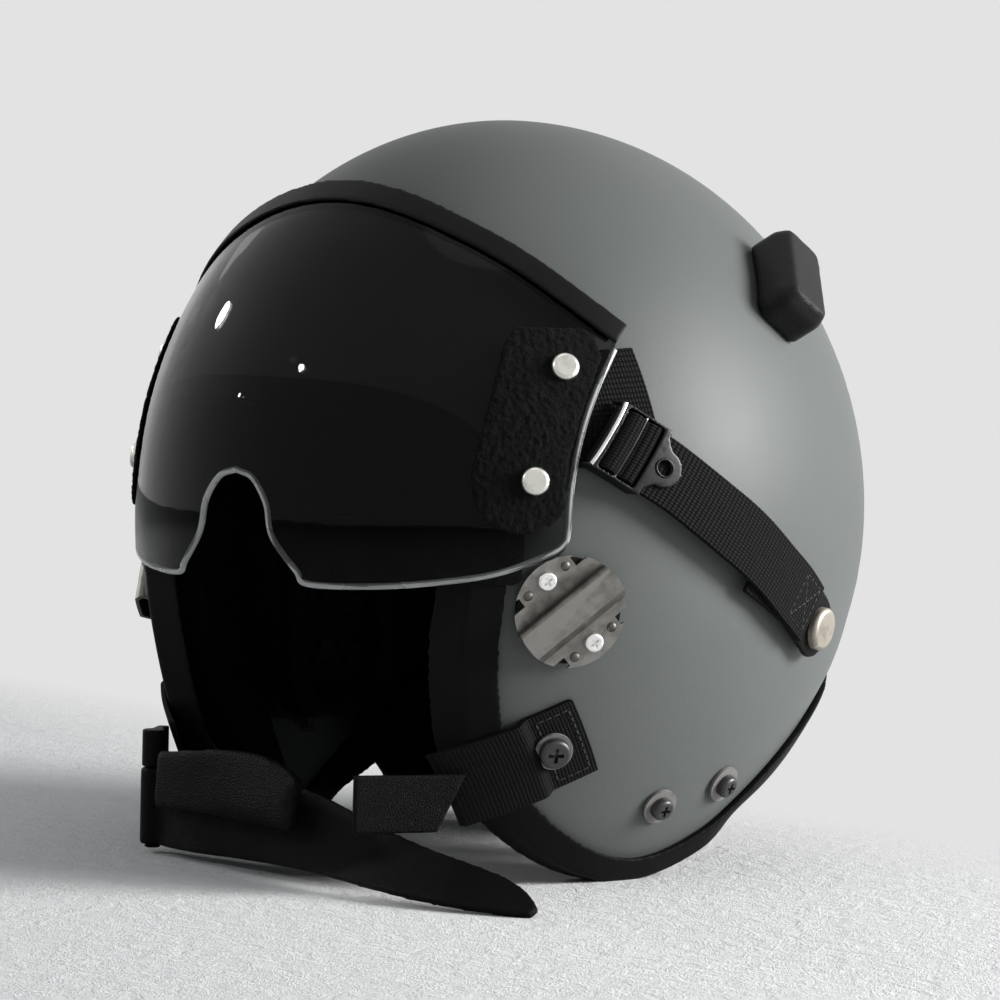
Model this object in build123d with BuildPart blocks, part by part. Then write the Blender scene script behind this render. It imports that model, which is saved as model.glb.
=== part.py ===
from build123d import *
import math
import os

os.makedirs("parts", exist_ok=True)

# Painted dome, measured from its own centre; -Y is the wearer's front and +X the left side
half_width = 120.0
front_reach = 131.0
rear_reach = 145.6
crown_rise = 139.3
side_span = 169.0
front_span = 183.0
rear_span = 105.0
heel_reach = 45.0
shell_wall = 3.5
lobe_drop = 119.0
roll_wall = 3.0
roll_cover = 5.8
rest_flat = 0.6
seat_gap = 0.3
overrun = 40.0
line_steps = 20

# Face opening in side view, as shares of the front reach and of the drop of the ear lobes
lobe_shares = [(-0.742, -0.470), (-0.710, -0.597), (-0.595, -0.794), (-0.408, -0.944), (-0.218, -1.0)]
rear_edge_shares = [(0.0, -0.930), (0.202, -0.792), (0.534, -0.605), (0.840, -0.487), (1.20, -0.430)]
cheek_share = -0.770
cheek_top_share = -0.250
brow_rise = 42.0
brow_radius = 28.0

# Visor lens with a rubber strip on its upper edge
visor_gap = 4.0
lens_wall = 2.0
strip_wall = 1.4
strip_width = 8.5
visor_top_shares = [(-0.444, 0.543), (-0.543, 0.666), (-0.612, 0.772), (-0.655, 0.842), (-0.683, 0.92), (-0.69, 1.15)]
visor_rear_shares = [(-0.535, 0.38), (-0.588, 0.252), (-0.618, 0.116), (-0.626, 0.007)]
visor_low_shares = [(-0.642, -0.065), (-0.759, -0.116), (-0.856, -0.145), (-0.936, -0.162), (-1.024, -0.155)]
nose_shares = [(0.27, -0.2), (0.2, -0.13), (0.13, -0.04), (0.108, 0.05)]
nose_rise = 16.6
lens_corner = 7.0

# Pile patches, rivets and the two-legged yoke behind the lens
patch_wall = 1.1
patch_width = 34.0
patch_length = 74.0
patch_lean = 15.0
patch_margin = 3.0
patch_centre_shares = (-0.647, 0.286)
rivet_size = 9.5
rivet_rise = 2.2
rivet_shank = 3.6
hole_play = 0.15
leg_wall = 1.3
leg_margin = 4.0
yoke_margin = 1.0
stud_share = (0.210, -0.288)
strap_front_share = (-0.542, 0.273)
rivet_shares = [(-0.570, 0.429), (-0.668, 0.132)]

# Rear straps on snap studs, with slider buckles
webbing_width = 22.0
webbing_wall = 1.5
strap_gap = 5.4
stud_size = 7.0
cap_size = 15.0
cap_rise = 3.2
tab_lap = 14.0
buckle_length = 18.0
buckle_width = 25.0
buckle_bar = 2.6
buckle_wall = 1.3
buckle_play = 0.5
buckle_lead = 0.5
buckle_tab_size = 13.0
buckle_hole = 5.2
hook_centre_share = (-0.745, -0.05)
hook_length = 11.0
hook_height = 24.0
hook_wall = 0.7
tail_length = 24.0

# Bayonet receivers
receiver_size = 37.5
receiver_wall = 1.2
receiver_pad_wall = 1.6
channel_width = 15.0
channel_rise = 4.2
notch_size = 7.0
screw_head = 6.4
receiver_screw_place = 13.2
receiver_share = (-0.584, -0.217)
channel_angle = 40.0
screw_shank = 3.4
screw_rise = 1.8
notch_place_share = 0.85
notch_reach_share = 0.76

# Chin tabs, screws and washers
tab_width = 28.0
tab_wall = 1.8
tab_screw_share = (-0.550, -0.609)
tab_dip = 31.0
tab_view_share = 0.97
tab_back = 9.0
tab_reach = 29.0
pan_head = 10.5
pan_rise = 3.0
washer_size = 13.0
washer_wall = 1.0
nut_size = 9.0
nut_wall = 1.6
nut_drop = 1.0
nape_head = 8.0
nape_screw_shares = [(-0.208, -0.792), (0.001, -0.742)]

# Visor stops on the upper rear of the shell
stop_length = 38.0
stop_width = 22.0
stop_rise = 15.0
stop_round = 5.0
stop_taper = 25.0
stop_share = (0.238, 0.669)
stop_turn = 50.0

# Foam, pads and ear cups inside
foam_wall = 13.0
foam_setback = 14.0
pad_wall = 8.0
ear_share = (-0.03, -0.38)
ear_inset = 38.0
ear_height = 74.0
ear_length = 58.0
ear_round = 12.0
ear_wall = 2.5
seal_wall = 12.0
seal_band = 11.0
speaker_size = 44.0
speaker_wall = 9.0
grille_hole = 4.0
grille_holes = 6
crown_pad_share = 0.46
brow_pad_share = 0.45
rear_pad_share = -0.1
head_pad_width = 110.0
head_pad_height = 44.0

# Chin strap, its places as shares of the half width and the front reach from the dome's centre
chin_width = 27.0
chin_wall = 2.6
chin_lift = 3.0
hinge_pin = 1.6
hinge_run = 13.0
anchor_height = 13.0
tab_end_share = (0.6, -0.743)
tab_end_level = 31.0
tab_end_run = (-20.0, -32.0, 0.0)
tab_end_length = 38.0
tab_end_height = 19.0
socket_share = 0.45
chin_rows = [
    (-0.517, -0.827, 3.0, 0, 27.0),
    (-0.208, -0.865, 3.5, 6, 27.0),
    (0.150, -0.903, 4.5, 18, 26.0),
    (0.458, -0.956, 4.0, 48, 22.0),
    (0.733, -0.934, 2.0, 62, 20.0),
    (0.950, -0.857, 0.6, 66, 4.0),
]
chin_pad_wall = 6.5
chin_pad_rows = [
    (-0.467, -0.876, 16.0, 2, 22.0),
    (-0.208, -0.911, 17.0, 6, 25.0),
    (0.042, -0.934, 17.0, 14, 24.0),
    (0.150, -0.949, 17.0, 18, 19.0),
]

# Nape strap and pad, their places as shares of the rear reach from the dome's centre
nape_start_share = 0.245
nape_pad_rows = [(76.0, 26.0, 0.369, 0.0), (88.0, 36.0, 0.465, 26.0), (100.0, 44.0, 0.685, 66.0)]
nape_round_share = 0.42
collar_wall = 13.0
collar_drop = 14.0
collar_start_share = 0.1

centre_height = lobe_drop + roll_wall - rest_flat
centre_y = (front_reach + visor_gap + lens_wall - rear_reach) / 2
middle = Vector(0, centre_y, centre_height)


def shrink(level, span):
    return math.sqrt(max(0, 1 - (level / span) ** 2))


def half_sizes(level, gap):
    # Half width, front reach and rear reach of one horizontal section
    if level > 0:
        top = shrink(level, crown_rise + gap)
        return (half_width + gap) * top, (front_reach + gap) * top, (rear_reach + gap) * top
    side = (half_width + gap) * shrink(level, side_span + gap)
    front = (front_reach + gap) * shrink(level, front_span + gap)
    heel = shrink(level, rear_span)
    rear = math.hypot((rear_reach + gap) * heel, (heel_reach + gap) * math.sqrt(1 - heel**2))
    return side, front, rear


domes = {}
lower_level_shares = [1.0, 0.93, 0.86, 0.76, 0.64, 0.5, 0.34, 0.17, 0.0]
upper_angles = [9, 18, 27, 36, 45, 54, 62, 70, 77, 83, 87]
dome_depth = lobe_drop + roll_wall + rest_flat


def dome(gap):
    # Solid dome whose face stands a gap away from the painted face
    if gap not in domes:
        levels = [-dome_depth * share for share in lower_level_shares]
        levels += [(crown_rise + gap) * math.sin(math.radians(angle)) for angle in upper_angles]
        with BuildPart() as body:
            for level in levels:
                side, front, rear = half_sizes(level, gap)
                with BuildSketch(Plane.XY.offset(centre_height + level)):
                    with BuildLine():
                        EllipticalCenterArc((0, centre_y), side, rear, start_angle=0, arc_size=180)
                        EllipticalCenterArc((0, centre_y), side, front, start_angle=180, arc_size=180)
                    make_face()
            loft(sections=[*body.pending_faces, Vertex(0, centre_y, centre_height + crown_rise + gap)])
        domes[gap] = body.part
    return domes[gap]


def keep_layer(low_gap, high_gap):
    # Cuts the solid under construction down to the layer between two gaps
    add(dome(high_gap), mode=Mode.INTERSECT)
    add(dome(low_gap), mode=Mode.SUBTRACT)


def side_place(y_share, z_share):
    # Place in side view from shares of the front reach and the lobe drop
    return (centre_y + y_share * front_reach, centre_height + z_share * lobe_drop)


def side_places(shares):
    return [side_place(*pair) for pair in shares]


def face_plane(y, level, gap=0.0):
    # Plane on the left face at a side-view place from the dome's centre, Z outwards, Y upwards
    side, front, rear = half_sizes(level, gap)
    reach = front if y < 0 else rear
    reach_sum = front_reach if y < 0 else rear_reach
    span = crown_rise if level > 0 else side_span
    x = side * math.sqrt(1 - (y / reach) ** 2)
    slope = x**2 * (half_width * half_width * level / span**2) / side**4
    slope += y**2 * (reach_sum * reach_sum * level / span**2) / reach**4
    normal = Vector(x / side**2, y / reach**2, slope).normalized()
    across = Vector(0, 0, 1).cross(normal).normalized()
    return Plane(middle + Vector(x, y, level), x_dir=across, z_dir=normal)


def turned(plane, angle):
    # The same plane with its X direction turned about its normal
    turn = math.radians(angle)
    return Plane(plane.origin, x_dir=plane.x_dir * math.cos(turn) + plane.y_dir * math.sin(turn), z_dir=plane.z_dir)


def beside(line, distance):
    # Line at a distance on the right-hand side of another, in side view
    spots = [line @ (step / line_steps) for step in range(line_steps + 1)]
    turns = [line % (step / line_steps) for step in range(line_steps + 1)]
    moved = [spot + Vector(turn.Y, -turn.X) * distance for spot, turn in zip(spots, turns)]
    return Spline(*moved, tangents=[turns[0], turns[-1]])


def opening_side(grow=0.0):
    # Side-view face of what the shell keeps, from the cheek line round the lobe to the far top
    far = rear_reach + overrun
    cheek = side_place(cheek_share, 0)[0] - grow
    brow = centre_height + brow_rise - grow
    radius = brow_radius - grow
    cheek_low = side_place(cheek_share, cheek_top_share)
    edge_line = Spline(cheek_low, *side_places(lobe_shares + rear_edge_shares), tangents=[(0, -1), (1, 0)])
    with BuildSketch(Plane.YZ) as view:
        with BuildLine():
            lobe_line = beside(edge_line, grow)
            start = lobe_line @ 0
            rear_end = lobe_line @ 1
            Polyline(
                rear_end,
                (far, rear_end.Y),
                (far, centre_height + far),
                (-far, centre_height + far),
                (-far, brow),
                (cheek - radius, brow),
            )
            CenterArc((cheek - radius, brow - radius), radius, 0, 90)
            Line((cheek, brow - radius), start)
        make_face()
    return view.sketch


def through(face, mode=Mode.ADD):
    # Runs a side-view face right through the helmet
    extrude(face, amount=half_width + overrun, both=True, mode=mode)


# Rubber roll round the shell's whole edge, U-shaped over it and cut flat where it rests
with BuildPart() as shell_seat:
    through(opening_side(seat_gap / 2))
    keep_layer(-shell_wall - seat_gap / 2, seat_gap / 2)
with BuildPart() as edge_roll:
    through(opening_side(roll_wall))
    through(opening_side(-roll_cover), mode=Mode.SUBTRACT)
    keep_layer(-shell_wall - roll_wall, roll_wall)
    add(shell_seat.part, mode=Mode.SUBTRACT)
    with BuildSketch(Plane.XY):
        Rectangle(front_reach + rear_reach, front_reach + rear_reach + overrun)
    extrude(amount=-overrun, mode=Mode.SUBTRACT)
edge_roll.part.label = "edge_roll"
export_step(edge_roll.part, "parts/edge_roll.step")


def layer_on_left(face, low_gap, high_gap):
    # Left-hand piece of the layer between two gaps, cut to a side-view face
    with BuildPart() as piece:
        extrude(face, amount=half_width + overrun)
        keep_layer(low_gap, high_gap)
    return piece.part


def post(place, radius, low, high, dome_round=0.0):
    # Round post along a plane's normal, from one height to another, its top edge rounded
    with BuildPart(place) as rod:
        with Locations((0, 0, low)):
            Cylinder(radius, high - low, align=(Align.CENTER, Align.CENTER, Align.MIN))
        if dome_round:
            top = rod.faces().sort_by(Axis(place.origin, place.z_dir))[-1]
            fillet(top.edges(), dome_round)
    return rod.part


def cross_head(place, radius, low, high, dome_round, recess):
    # Round screw head with a crossed recess
    with BuildPart() as head:
        add(post(place, radius, low, high, dome_round))
        with BuildSketch(place.offset(high)):
            Rectangle(recess, recess / 4)
            Rectangle(recess / 4, recess)
        extrude(amount=-recess / 3, mode=Mode.SUBTRACT)
    return head.part


def mirrored(part):
    return mirror(part, about=Plane.YZ)


# Clear lens over the face, with a cut-out for the nose
lens_top = visor_gap + lens_wall


top_places = side_places(visor_top_shares)
low_places = side_places(visor_low_shares)
rear_line = Spline(low_places[0], *reversed(side_places(visor_rear_shares)), top_places[0])
far_front = -front_reach - 2 * overrun


def visor_side():
    with BuildSketch(Plane.YZ) as view:
        with BuildLine():
            Spline(*top_places)
            Polyline(top_places[-1], (far_front, top_places[-1][1]), (far_front, low_places[-1][1]), low_places[-1])
            Spline(*reversed(low_places))
            add(rear_line)
        make_face()
        corner = view.vertices().sort_by_distance(Vector(0, *low_places[0]))[0]
        fillet(corner, lens_corner)
    return view.sketch


def before_rear_edge(margin):
    # Side-view face of everything in front of the lens's rear edge, kept a margin inside it
    with BuildSketch(Plane.YZ) as view:
        with BuildLine():
            inner = beside(rear_line, -margin)
            Polyline(inner @ 1, (far_front, (inner @ 1).Y), (far_front, (inner @ 0).Y), inner @ 0)
        make_face()
    return view.sketch


def nose_cut():
    places = [(y * front_reach, centre_height + z * lobe_drop) for y, z in nose_shares]
    with BuildPart() as cut:
        with BuildSketch(Plane.XZ):
            with BuildLine():
                arch = [*places, (0, centre_height + nose_rise), *[(-x, z) for x, z in reversed(places)]]
                Spline(*arch)
                Line(arch[-1], arch[0])
            make_face()
        extrude(amount=front_reach + overrun)
    return cut.part


rivet_planes = [face_plane(y * front_reach, z * lobe_drop) for y, z in rivet_shares]
rivet_holes = [post(place, rivet_shank / 2 + hole_play, 0, lens_top + rivet_size) for place in rivet_planes]
with BuildPart() as visor_lens:
    through(visor_side())
    keep_layer(visor_gap, lens_top)
    add(nose_cut(), mode=Mode.SUBTRACT)
    add(rivet_holes, mode=Mode.SUBTRACT)
    add([mirrored(hole) for hole in rivet_holes], mode=Mode.SUBTRACT)
visor_lens.part.label = "visor_lens"
export_step(visor_lens.part, "parts/visor_lens.step")

# Rubber strip gripping the lens's upper edge
strip_edge = Spline(*side_places(visor_top_shares))
with BuildSketch(Plane.YZ) as strip_side:
    with BuildLine():
        near_line = beside(strip_edge, strip_width / 2)
        far_line = beside(strip_edge, -strip_width / 2)
        Line(near_line @ 0, far_line @ 0)
        Line(near_line @ 1, far_line @ 1)
    make_face()
with BuildPart() as visor_edge_strip:
    through(strip_side.sketch)
    keep_layer(visor_gap - strip_wall - hole_play, lens_top + strip_wall + hole_play)
    with BuildPart(mode=Mode.PRIVATE) as lens_slot:
        through(visor_side())
        keep_layer(visor_gap - hole_play, lens_top + hole_play)
    add(lens_slot.part, mode=Mode.SUBTRACT)
visor_edge_strip.part.label = "visor_edge_strip"
export_step(visor_edge_strip.part, "parts/visor_edge_strip.step")

# Fuzzy pile patch on each side of the lens, held by two rivets
patch_plane = face_plane(patch_centre_shares[0] * front_reach, patch_centre_shares[1] * lobe_drop)
with BuildPart() as pile_patch_left:
    with BuildSketch(patch_plane):
        RectangleRounded(patch_width, patch_length, patch_width / 2 - seat_gap, rotation=-patch_lean)
    extrude(amount=patch_length)
    keep_layer(lens_top + hole_play, lens_top + hole_play + patch_wall)
    through(before_rear_edge(patch_margin), mode=Mode.INTERSECT)
    add(rivet_holes, mode=Mode.SUBTRACT)
pile_patch_left.part.label = "pile_patch_left"
export_step(pile_patch_left.part, "parts/pile_patch_left.step")
with BuildPart() as pile_patch_right:
    add(mirrored(pile_patch_left.part))
pile_patch_right.part.label = "pile_patch_right"
export_step(pile_patch_right.part, "parts/pile_patch_right.step")

# Webbing yoke behind each side of the lens: two legs from the rivets towards the buckle
stud_place = side_place(*stud_share)
strap_run = Vector(0, *side_place(*strap_front_share)) - Vector(0, *stud_place)
strap_length = strap_run.length
strap_plane = Plane((0, *stud_place), x_dir=strap_run, z_dir=(1, 0, 0))
strap_front = Vector(*side_place(*strap_front_share))
# Room for the edge roll in the underside of the yoke
with BuildPart() as roll_room:
    through(opening_side(roll_wall + hole_play))
    through(opening_side(-roll_cover - hole_play), mode=Mode.SUBTRACT)
    keep_layer(-shell_wall, roll_wall + hole_play)

yoke_high = visor_gap - hole_play
yoke_low = yoke_high - leg_wall
with BuildSketch(Plane.YZ) as yoke_view:
    for place in rivet_planes:
        rivet_spot = Vector(place.origin.Y, place.origin.Z)
        leg_run = strap_front - rivet_spot
        leg_length = leg_run.length + leg_margin
        leg_centre = strap_front - leg_run.normalized() * (leg_length / 2)
        with Locations(Location((leg_centre.X, leg_centre.Y), math.degrees(math.atan2(leg_run.Y, leg_run.X)))):
            Rectangle(leg_length, webbing_width)
with BuildPart() as yoke_left:
    extrude(yoke_view.sketch, amount=half_width + overrun)
    keep_layer(yoke_low, yoke_high)
    through(before_rear_edge(yoke_margin), mode=Mode.INTERSECT)
    add(rivet_holes, mode=Mode.SUBTRACT)
    add(roll_room.part, mode=Mode.SUBTRACT)
yoke_left.part.label = "yoke_left"
export_step(yoke_left.part, "parts/yoke_left.step")
with BuildPart() as yoke_right:
    add(mirrored(yoke_left.part))
yoke_right.part.label = "yoke_right"
export_step(yoke_right.part, "parts/yoke_right.step")

# Domed rivets through patch, lens and yoke, with a washer inside
rivet_seat = lens_top + hole_play * 2 + patch_wall
washer_top = yoke_low - seat_gap
rivets = []
for place in rivet_planes:
    with BuildPart() as rivet:
        add(post(place, rivet_size / 2, rivet_seat, rivet_seat + rivet_rise, rivet_rise * 0.8))
        add(post(place, rivet_shank / 2, washer_top - washer_wall, rivet_seat + rivet_rise / 2))
        add(post(place, rivet_size / 2, washer_top - washer_wall, washer_top))
    rivets.append(rivet.part)
with BuildPart() as visor_rivets:
    add(rivets)
    add([mirrored(rivet) for rivet in rivets])
visor_rivets.part.label = "visor_rivets"
export_step(visor_rivets.part, "parts/visor_rivets.step")

# Rear strap: webbing from behind the snap cap to the buckle, standing off the shell
stud_plane = face_plane(stud_share[0] * front_reach, stud_share[1] * lobe_drop)
stud_hole = post(stud_plane, stud_size / 2 + buckle_play, 0, strap_gap + cap_size)
strap_start = cap_size / 2 + buckle_play


def strap_side(start, end, width):
    with BuildSketch(strap_plane) as view:
        with Locations(((start + end) / 2, 0)):
            Rectangle(end - start, width)
    return view.sketch


with BuildPart() as rear_strap_left:
    add(layer_on_left(strap_side(strap_start, strap_length, webbing_width), strap_gap, strap_gap + webbing_wall))
rear_strap_left.part.label = "rear_strap_left"
export_step(rear_strap_left.part, "parts/rear_strap_left.step")
with BuildPart() as rear_strap_right:
    add(mirrored(rear_strap_left.part))
rear_strap_right.part.label = "rear_strap_right"
export_step(rear_strap_right.part, "parts/rear_strap_right.step")

# Folded end of the webbing, under the strap between the snap tab and the middle
tail_high = strap_gap - hole_play
tail_start = strap_start + tab_lap + seat_gap
with BuildPart() as strap_tail_left:
    tail_face = strap_side(tail_start, tail_start + tail_length, webbing_width)
    add(layer_on_left(tail_face, tail_high - webbing_wall, tail_high))
strap_tail_left.part.label = "strap_tail_left"
export_step(strap_tail_left.part, "parts/strap_tail_left.step")
with BuildPart() as strap_tail_right:
    add(mirrored(strap_tail_left.part))
strap_tail_right.part.label = "strap_tail_right"
export_step(strap_tail_right.part, "parts/strap_tail_right.step")

# Slider buckle: a frame of two rails and three bars, the strap threaded between them
buckle_low = strap_gap - buckle_play - buckle_wall
buckle_high = strap_gap + webbing_wall + buckle_play + buckle_wall
buckle_end = strap_length + buckle_lead
buckle_start = buckle_end - buckle_length
buckle_centre = (buckle_start + buckle_end) / 2


def buckle_face(places):
    with BuildSketch(strap_plane) as view:
        for place in places:
            with Locations((place, 0)):
                Rectangle(buckle_bar, buckle_width)
    return view.sketch


with BuildSketch(strap_plane) as buckle_tab:
    with Locations((buckle_start - buckle_hole / 2, 0)):
        Circle(buckle_tab_size / 2)
    with BuildLine():
        wing = buckle_start + buckle_bar / 2
        Polyline(
            (wing, webbing_width / 2),
            (buckle_start - buckle_hole / 2, buckle_tab_size / 2),
            (buckle_start - buckle_hole / 2, -buckle_tab_size / 2),
            (wing, -webbing_width / 2),
            close=True,
        )
    make_face()
    with Locations((buckle_start - buckle_hole / 2, 0)):
        Circle(buckle_hole / 2, mode=Mode.SUBTRACT)
    with Locations((buckle_start + buckle_length / 2 + buckle_bar / 2, 0)):
        Rectangle(buckle_length, buckle_width, mode=Mode.SUBTRACT)
bar_places = [buckle_start + buckle_bar / 2, buckle_centre, buckle_end - buckle_bar / 2]
with BuildSketch(strap_plane) as buckle_rails:
    with Locations((buckle_centre, 0)):
        Rectangle(buckle_length, buckle_width)
        Rectangle(buckle_length + overrun, webbing_width + 2 * buckle_play, mode=Mode.SUBTRACT)
with BuildPart() as slider_buckle_left:
    add(layer_on_left(buckle_rails.sketch, buckle_low, buckle_high))
    add(layer_on_left(buckle_face([bar_places[1]]), buckle_low, buckle_low + buckle_wall))
    outer_bars = buckle_face([bar_places[0], bar_places[2]])
    add(layer_on_left(outer_bars, buckle_high - buckle_wall, buckle_high))
    add(layer_on_left(buckle_tab.sketch, buckle_high - buckle_wall, buckle_high))
slider_buckle_left.part.label = "slider_buckle_left"
export_step(slider_buckle_left.part, "parts/slider_buckle_left.step")
with BuildPart() as slider_buckle_right:
    add(mirrored(slider_buckle_left.part))
slider_buckle_right.part.label = "slider_buckle_right"
export_step(slider_buckle_right.part, "parts/slider_buckle_right.step")

# Snap: stud on the shell, cap on the strap's end, and a leather tab between
with BuildPart() as snap_stud_left:
    add(post(stud_plane, cap_size / 2, seat_gap, seat_gap + washer_wall))
    add(post(stud_plane, stud_size / 2, seat_gap, strap_gap - buckle_play, hole_play))
snap_stud_left.part.label = "snap_stud_left"
export_step(snap_stud_left.part, "parts/snap_stud_left.step")
with BuildPart() as snap_stud_right:
    add(mirrored(snap_stud_left.part))
snap_stud_right.part.label = "snap_stud_right"
export_step(snap_stud_right.part, "parts/snap_stud_right.step")
cap_low = strap_gap
with BuildPart() as snap_cap_left:
    add(post(stud_plane, cap_size / 2, cap_low, cap_low + cap_rise, cap_rise / 2))
snap_cap_left.part.label = "snap_cap_left"
export_step(snap_cap_left.part, "parts/snap_cap_left.step")
with BuildPart() as snap_cap_right:
    add(mirrored(snap_cap_left.part))
snap_cap_right.part.label = "snap_cap_right"
export_step(snap_cap_right.part, "parts/snap_cap_right.step")
with BuildPart() as snap_tab_left:
    with BuildSketch(strap_plane) as tab_view:
        Circle(webbing_width / 2)
        with Locations(((strap_start + tab_lap) / 2, 0)):
            Rectangle(strap_start + tab_lap, webbing_width)
    tab_low = strap_gap - hole_play - tab_wall
    with BuildPart(mode=Mode.PRIVATE) as tab_layer:
        add(layer_on_left(tab_view.sketch, tab_low, tab_low + tab_wall))
    add(tab_layer.part)
    add(stud_hole, mode=Mode.SUBTRACT)
snap_tab_left.part.label = "snap_tab_left"
export_step(snap_tab_left.part, "parts/snap_tab_left.step")
with BuildPart() as snap_tab_right:
    add(mirrored(snap_tab_left.part))
snap_tab_right.part.label = "snap_tab_right"
export_step(snap_tab_right.part, "parts/snap_tab_right.step")

# Hook patch stuck to the shell under each lower corner of the lens
with BuildPart() as hook_patch_left:
    with BuildSketch(Plane.YZ) as hook_view:
        with Locations(side_place(*hook_centre_share)):
            RectangleRounded(hook_length, hook_height, hook_length / 4)
    with BuildPart(mode=Mode.PRIVATE) as hook_layer:
        add(layer_on_left(hook_view.sketch, roll_wall + hole_play, roll_wall + hole_play + hook_wall))
    add(hook_layer.part)
hook_patch_left.part.label = "hook_patch_left"
export_step(hook_patch_left.part, "parts/hook_patch_left.step")
with BuildPart() as hook_patch_right:
    add(mirrored(hook_patch_left.part))
hook_patch_right.part.label = "hook_patch_right"
export_step(hook_patch_right.part, "parts/hook_patch_right.step")

# Bayonet receiver: rubber underlay and a stamped disc with a raised channel across it
receiver_face = face_plane(receiver_share[0] * front_reach, receiver_share[1] * lobe_drop)
receiver_plane = turned(receiver_face, channel_angle)
pad_top = seat_gap + receiver_pad_wall
receiver_screw_planes = [
    Plane(receiver_plane.from_local_coords((0, side * receiver_screw_place, 0)), receiver_plane.x_dir, receiver_plane.z_dir)
    for side in (-1, 1)
]
receiver_holes = [post(place, screw_shank / 2 + hole_play, -overrun / 2, pad_top + receiver_size / 2) for place in receiver_screw_planes]
with BuildPart() as receiver_pad_left:
    with BuildSketch(receiver_plane.offset(-receiver_size / 4)):
        Circle(receiver_size / 2 - receiver_wall)
    extrude(amount=receiver_size / 4 + pad_top)
    add(dome(hole_play), mode=Mode.SUBTRACT)
    add(receiver_holes, mode=Mode.SUBTRACT)
receiver_pad_left.part.label = "receiver_pad_left"
export_step(receiver_pad_left.part, "parts/receiver_pad_left.step")
with BuildPart() as receiver_pad_right:
    add(mirrored(receiver_pad_left.part))
receiver_pad_right.part.label = "receiver_pad_right"
export_step(receiver_pad_right.part, "parts/receiver_pad_right.step")

plate_low = pad_top + hole_play


def channel_side(grow):
    # Arched cross-section of the channel, across its run
    half = channel_width / 2 + grow
    top = channel_rise + grow
    with BuildSketch(Plane(receiver_plane.origin + receiver_plane.z_dir * plate_low, receiver_plane.y_dir, receiver_plane.x_dir)) as view:
        with BuildLine():
            Polyline((half / 2, top), (-half / 2, top), (-half, 0), (half, 0), close=True)
        make_face()
        fillet(view.vertices().group_by(Axis(receiver_plane.origin, receiver_plane.z_dir))[-1], half / 3)
    return view.sketch


with BuildPart() as receiver_left:
    with BuildSketch(receiver_plane.offset(plate_low)):
        Circle(receiver_size / 2)
        notch_x = receiver_size / 2 * notch_reach_share
        notch_y = channel_width * notch_place_share
        with Locations([(x, y) for x in (-notch_x, notch_x) for y in (-notch_y, notch_y)]):
            Rectangle(notch_size, notch_size / 2, mode=Mode.SUBTRACT)
    extrude(amount=receiver_wall)
    extrude(channel_side(receiver_wall), amount=receiver_size / 2, both=True)
    extrude(channel_side(0), amount=receiver_size, both=True, mode=Mode.SUBTRACT)
    with BuildSketch(receiver_plane.offset(plate_low)):
        Circle(receiver_size / 2)
    extrude(amount=receiver_size, mode=Mode.INTERSECT)
    add(receiver_holes, mode=Mode.SUBTRACT)
receiver_left.part.label = "receiver_left"
export_step(receiver_left.part, "parts/receiver_left.step")
with BuildPart() as receiver_right:
    add(mirrored(receiver_left.part))
receiver_right.part.label = "receiver_right"
export_step(receiver_right.part, "parts/receiver_right.step")

# Cross-head screws and small rivets of both receivers
plate_top = plate_low + receiver_wall
nut_depth = shell_wall + nut_wall
receiver_screws = []
for place in receiver_screw_planes:
    with BuildPart() as screw:
        add(cross_head(place, screw_head / 2, plate_top, plate_top + screw_rise, screw_rise / 2, screw_head / 2))
        add(post(place, screw_shank / 2, -nut_depth - nut_drop, plate_top + screw_rise / 3))
    receiver_screws.append(screw.part)
with BuildPart() as receiver_screw_set:
    add(receiver_screws)
    add([mirrored(screw) for screw in receiver_screws])
receiver_screw_set.part.label = "receiver_screws"
export_step(receiver_screw_set.part, "parts/receiver_screws.step")

# Webbing tab on each cheek, from its screw over the roll, then free towards the chin
tab_screw_place = (tab_screw_share[0] * front_reach, tab_screw_share[1] * lobe_drop)
tab_screw_plane = face_plane(*tab_screw_place)
tab_start = Vector(0, *side_place(*tab_screw_share))
tab_run = Vector(0, -math.cos(math.radians(tab_dip)), -math.sin(math.radians(tab_dip)))
tab_plane = Plane(tab_start, x_dir=tab_run, z_dir=(1, 0, 0))


def tab_side(start, end):
    with BuildSketch(tab_plane) as view:
        with Locations(((start + end) / 2, 0)):
            Rectangle(end - start, tab_width * tab_view_share)
    return view.sketch


def tab_layer(near, far, low, high):
    # Stretch of the tab between two distances inside the shell's edge
    with BuildPart() as piece:
        extrude(tab_side(-tab_back, tab_reach), amount=half_width + overrun)
        if near:
            through(opening_side(-near), mode=Mode.INTERSECT)
        if far:
            through(opening_side(-far), mode=Mode.SUBTRACT)
        keep_layer(low, high)
    return piece.part


tab_screw_hole = post(tab_screw_plane, screw_shank / 2 + hole_play, -overrun / 2, overrun / 2)
tab_rise = roll_wall + seat_gap
with BuildPart() as strap_tab_left:
    add(tab_layer(roll_cover + seat_gap, 0, hole_play, hole_play + tab_wall))
    add(tab_layer(roll_cover + seat_gap, roll_cover + seat_gap + tab_wall, hole_play, tab_rise + tab_wall))
    add(tab_layer(0, roll_cover + seat_gap, tab_rise, tab_rise + tab_wall))
    add(tab_screw_hole, mode=Mode.SUBTRACT)
strap_tab_left.part.label = "strap_tab_left"
export_step(strap_tab_left.part, "parts/strap_tab_left.step")
with BuildPart() as strap_tab_right:
    add(mirrored(strap_tab_left.part))
strap_tab_right.part.label = "strap_tab_right"
export_step(strap_tab_right.part, "parts/strap_tab_right.step")

# Pan-head screws and washers of the tabs and of the lower rear edge
nape_planes = [face_plane(y * front_reach, z * lobe_drop) for y, z in nape_screw_shares]


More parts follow.
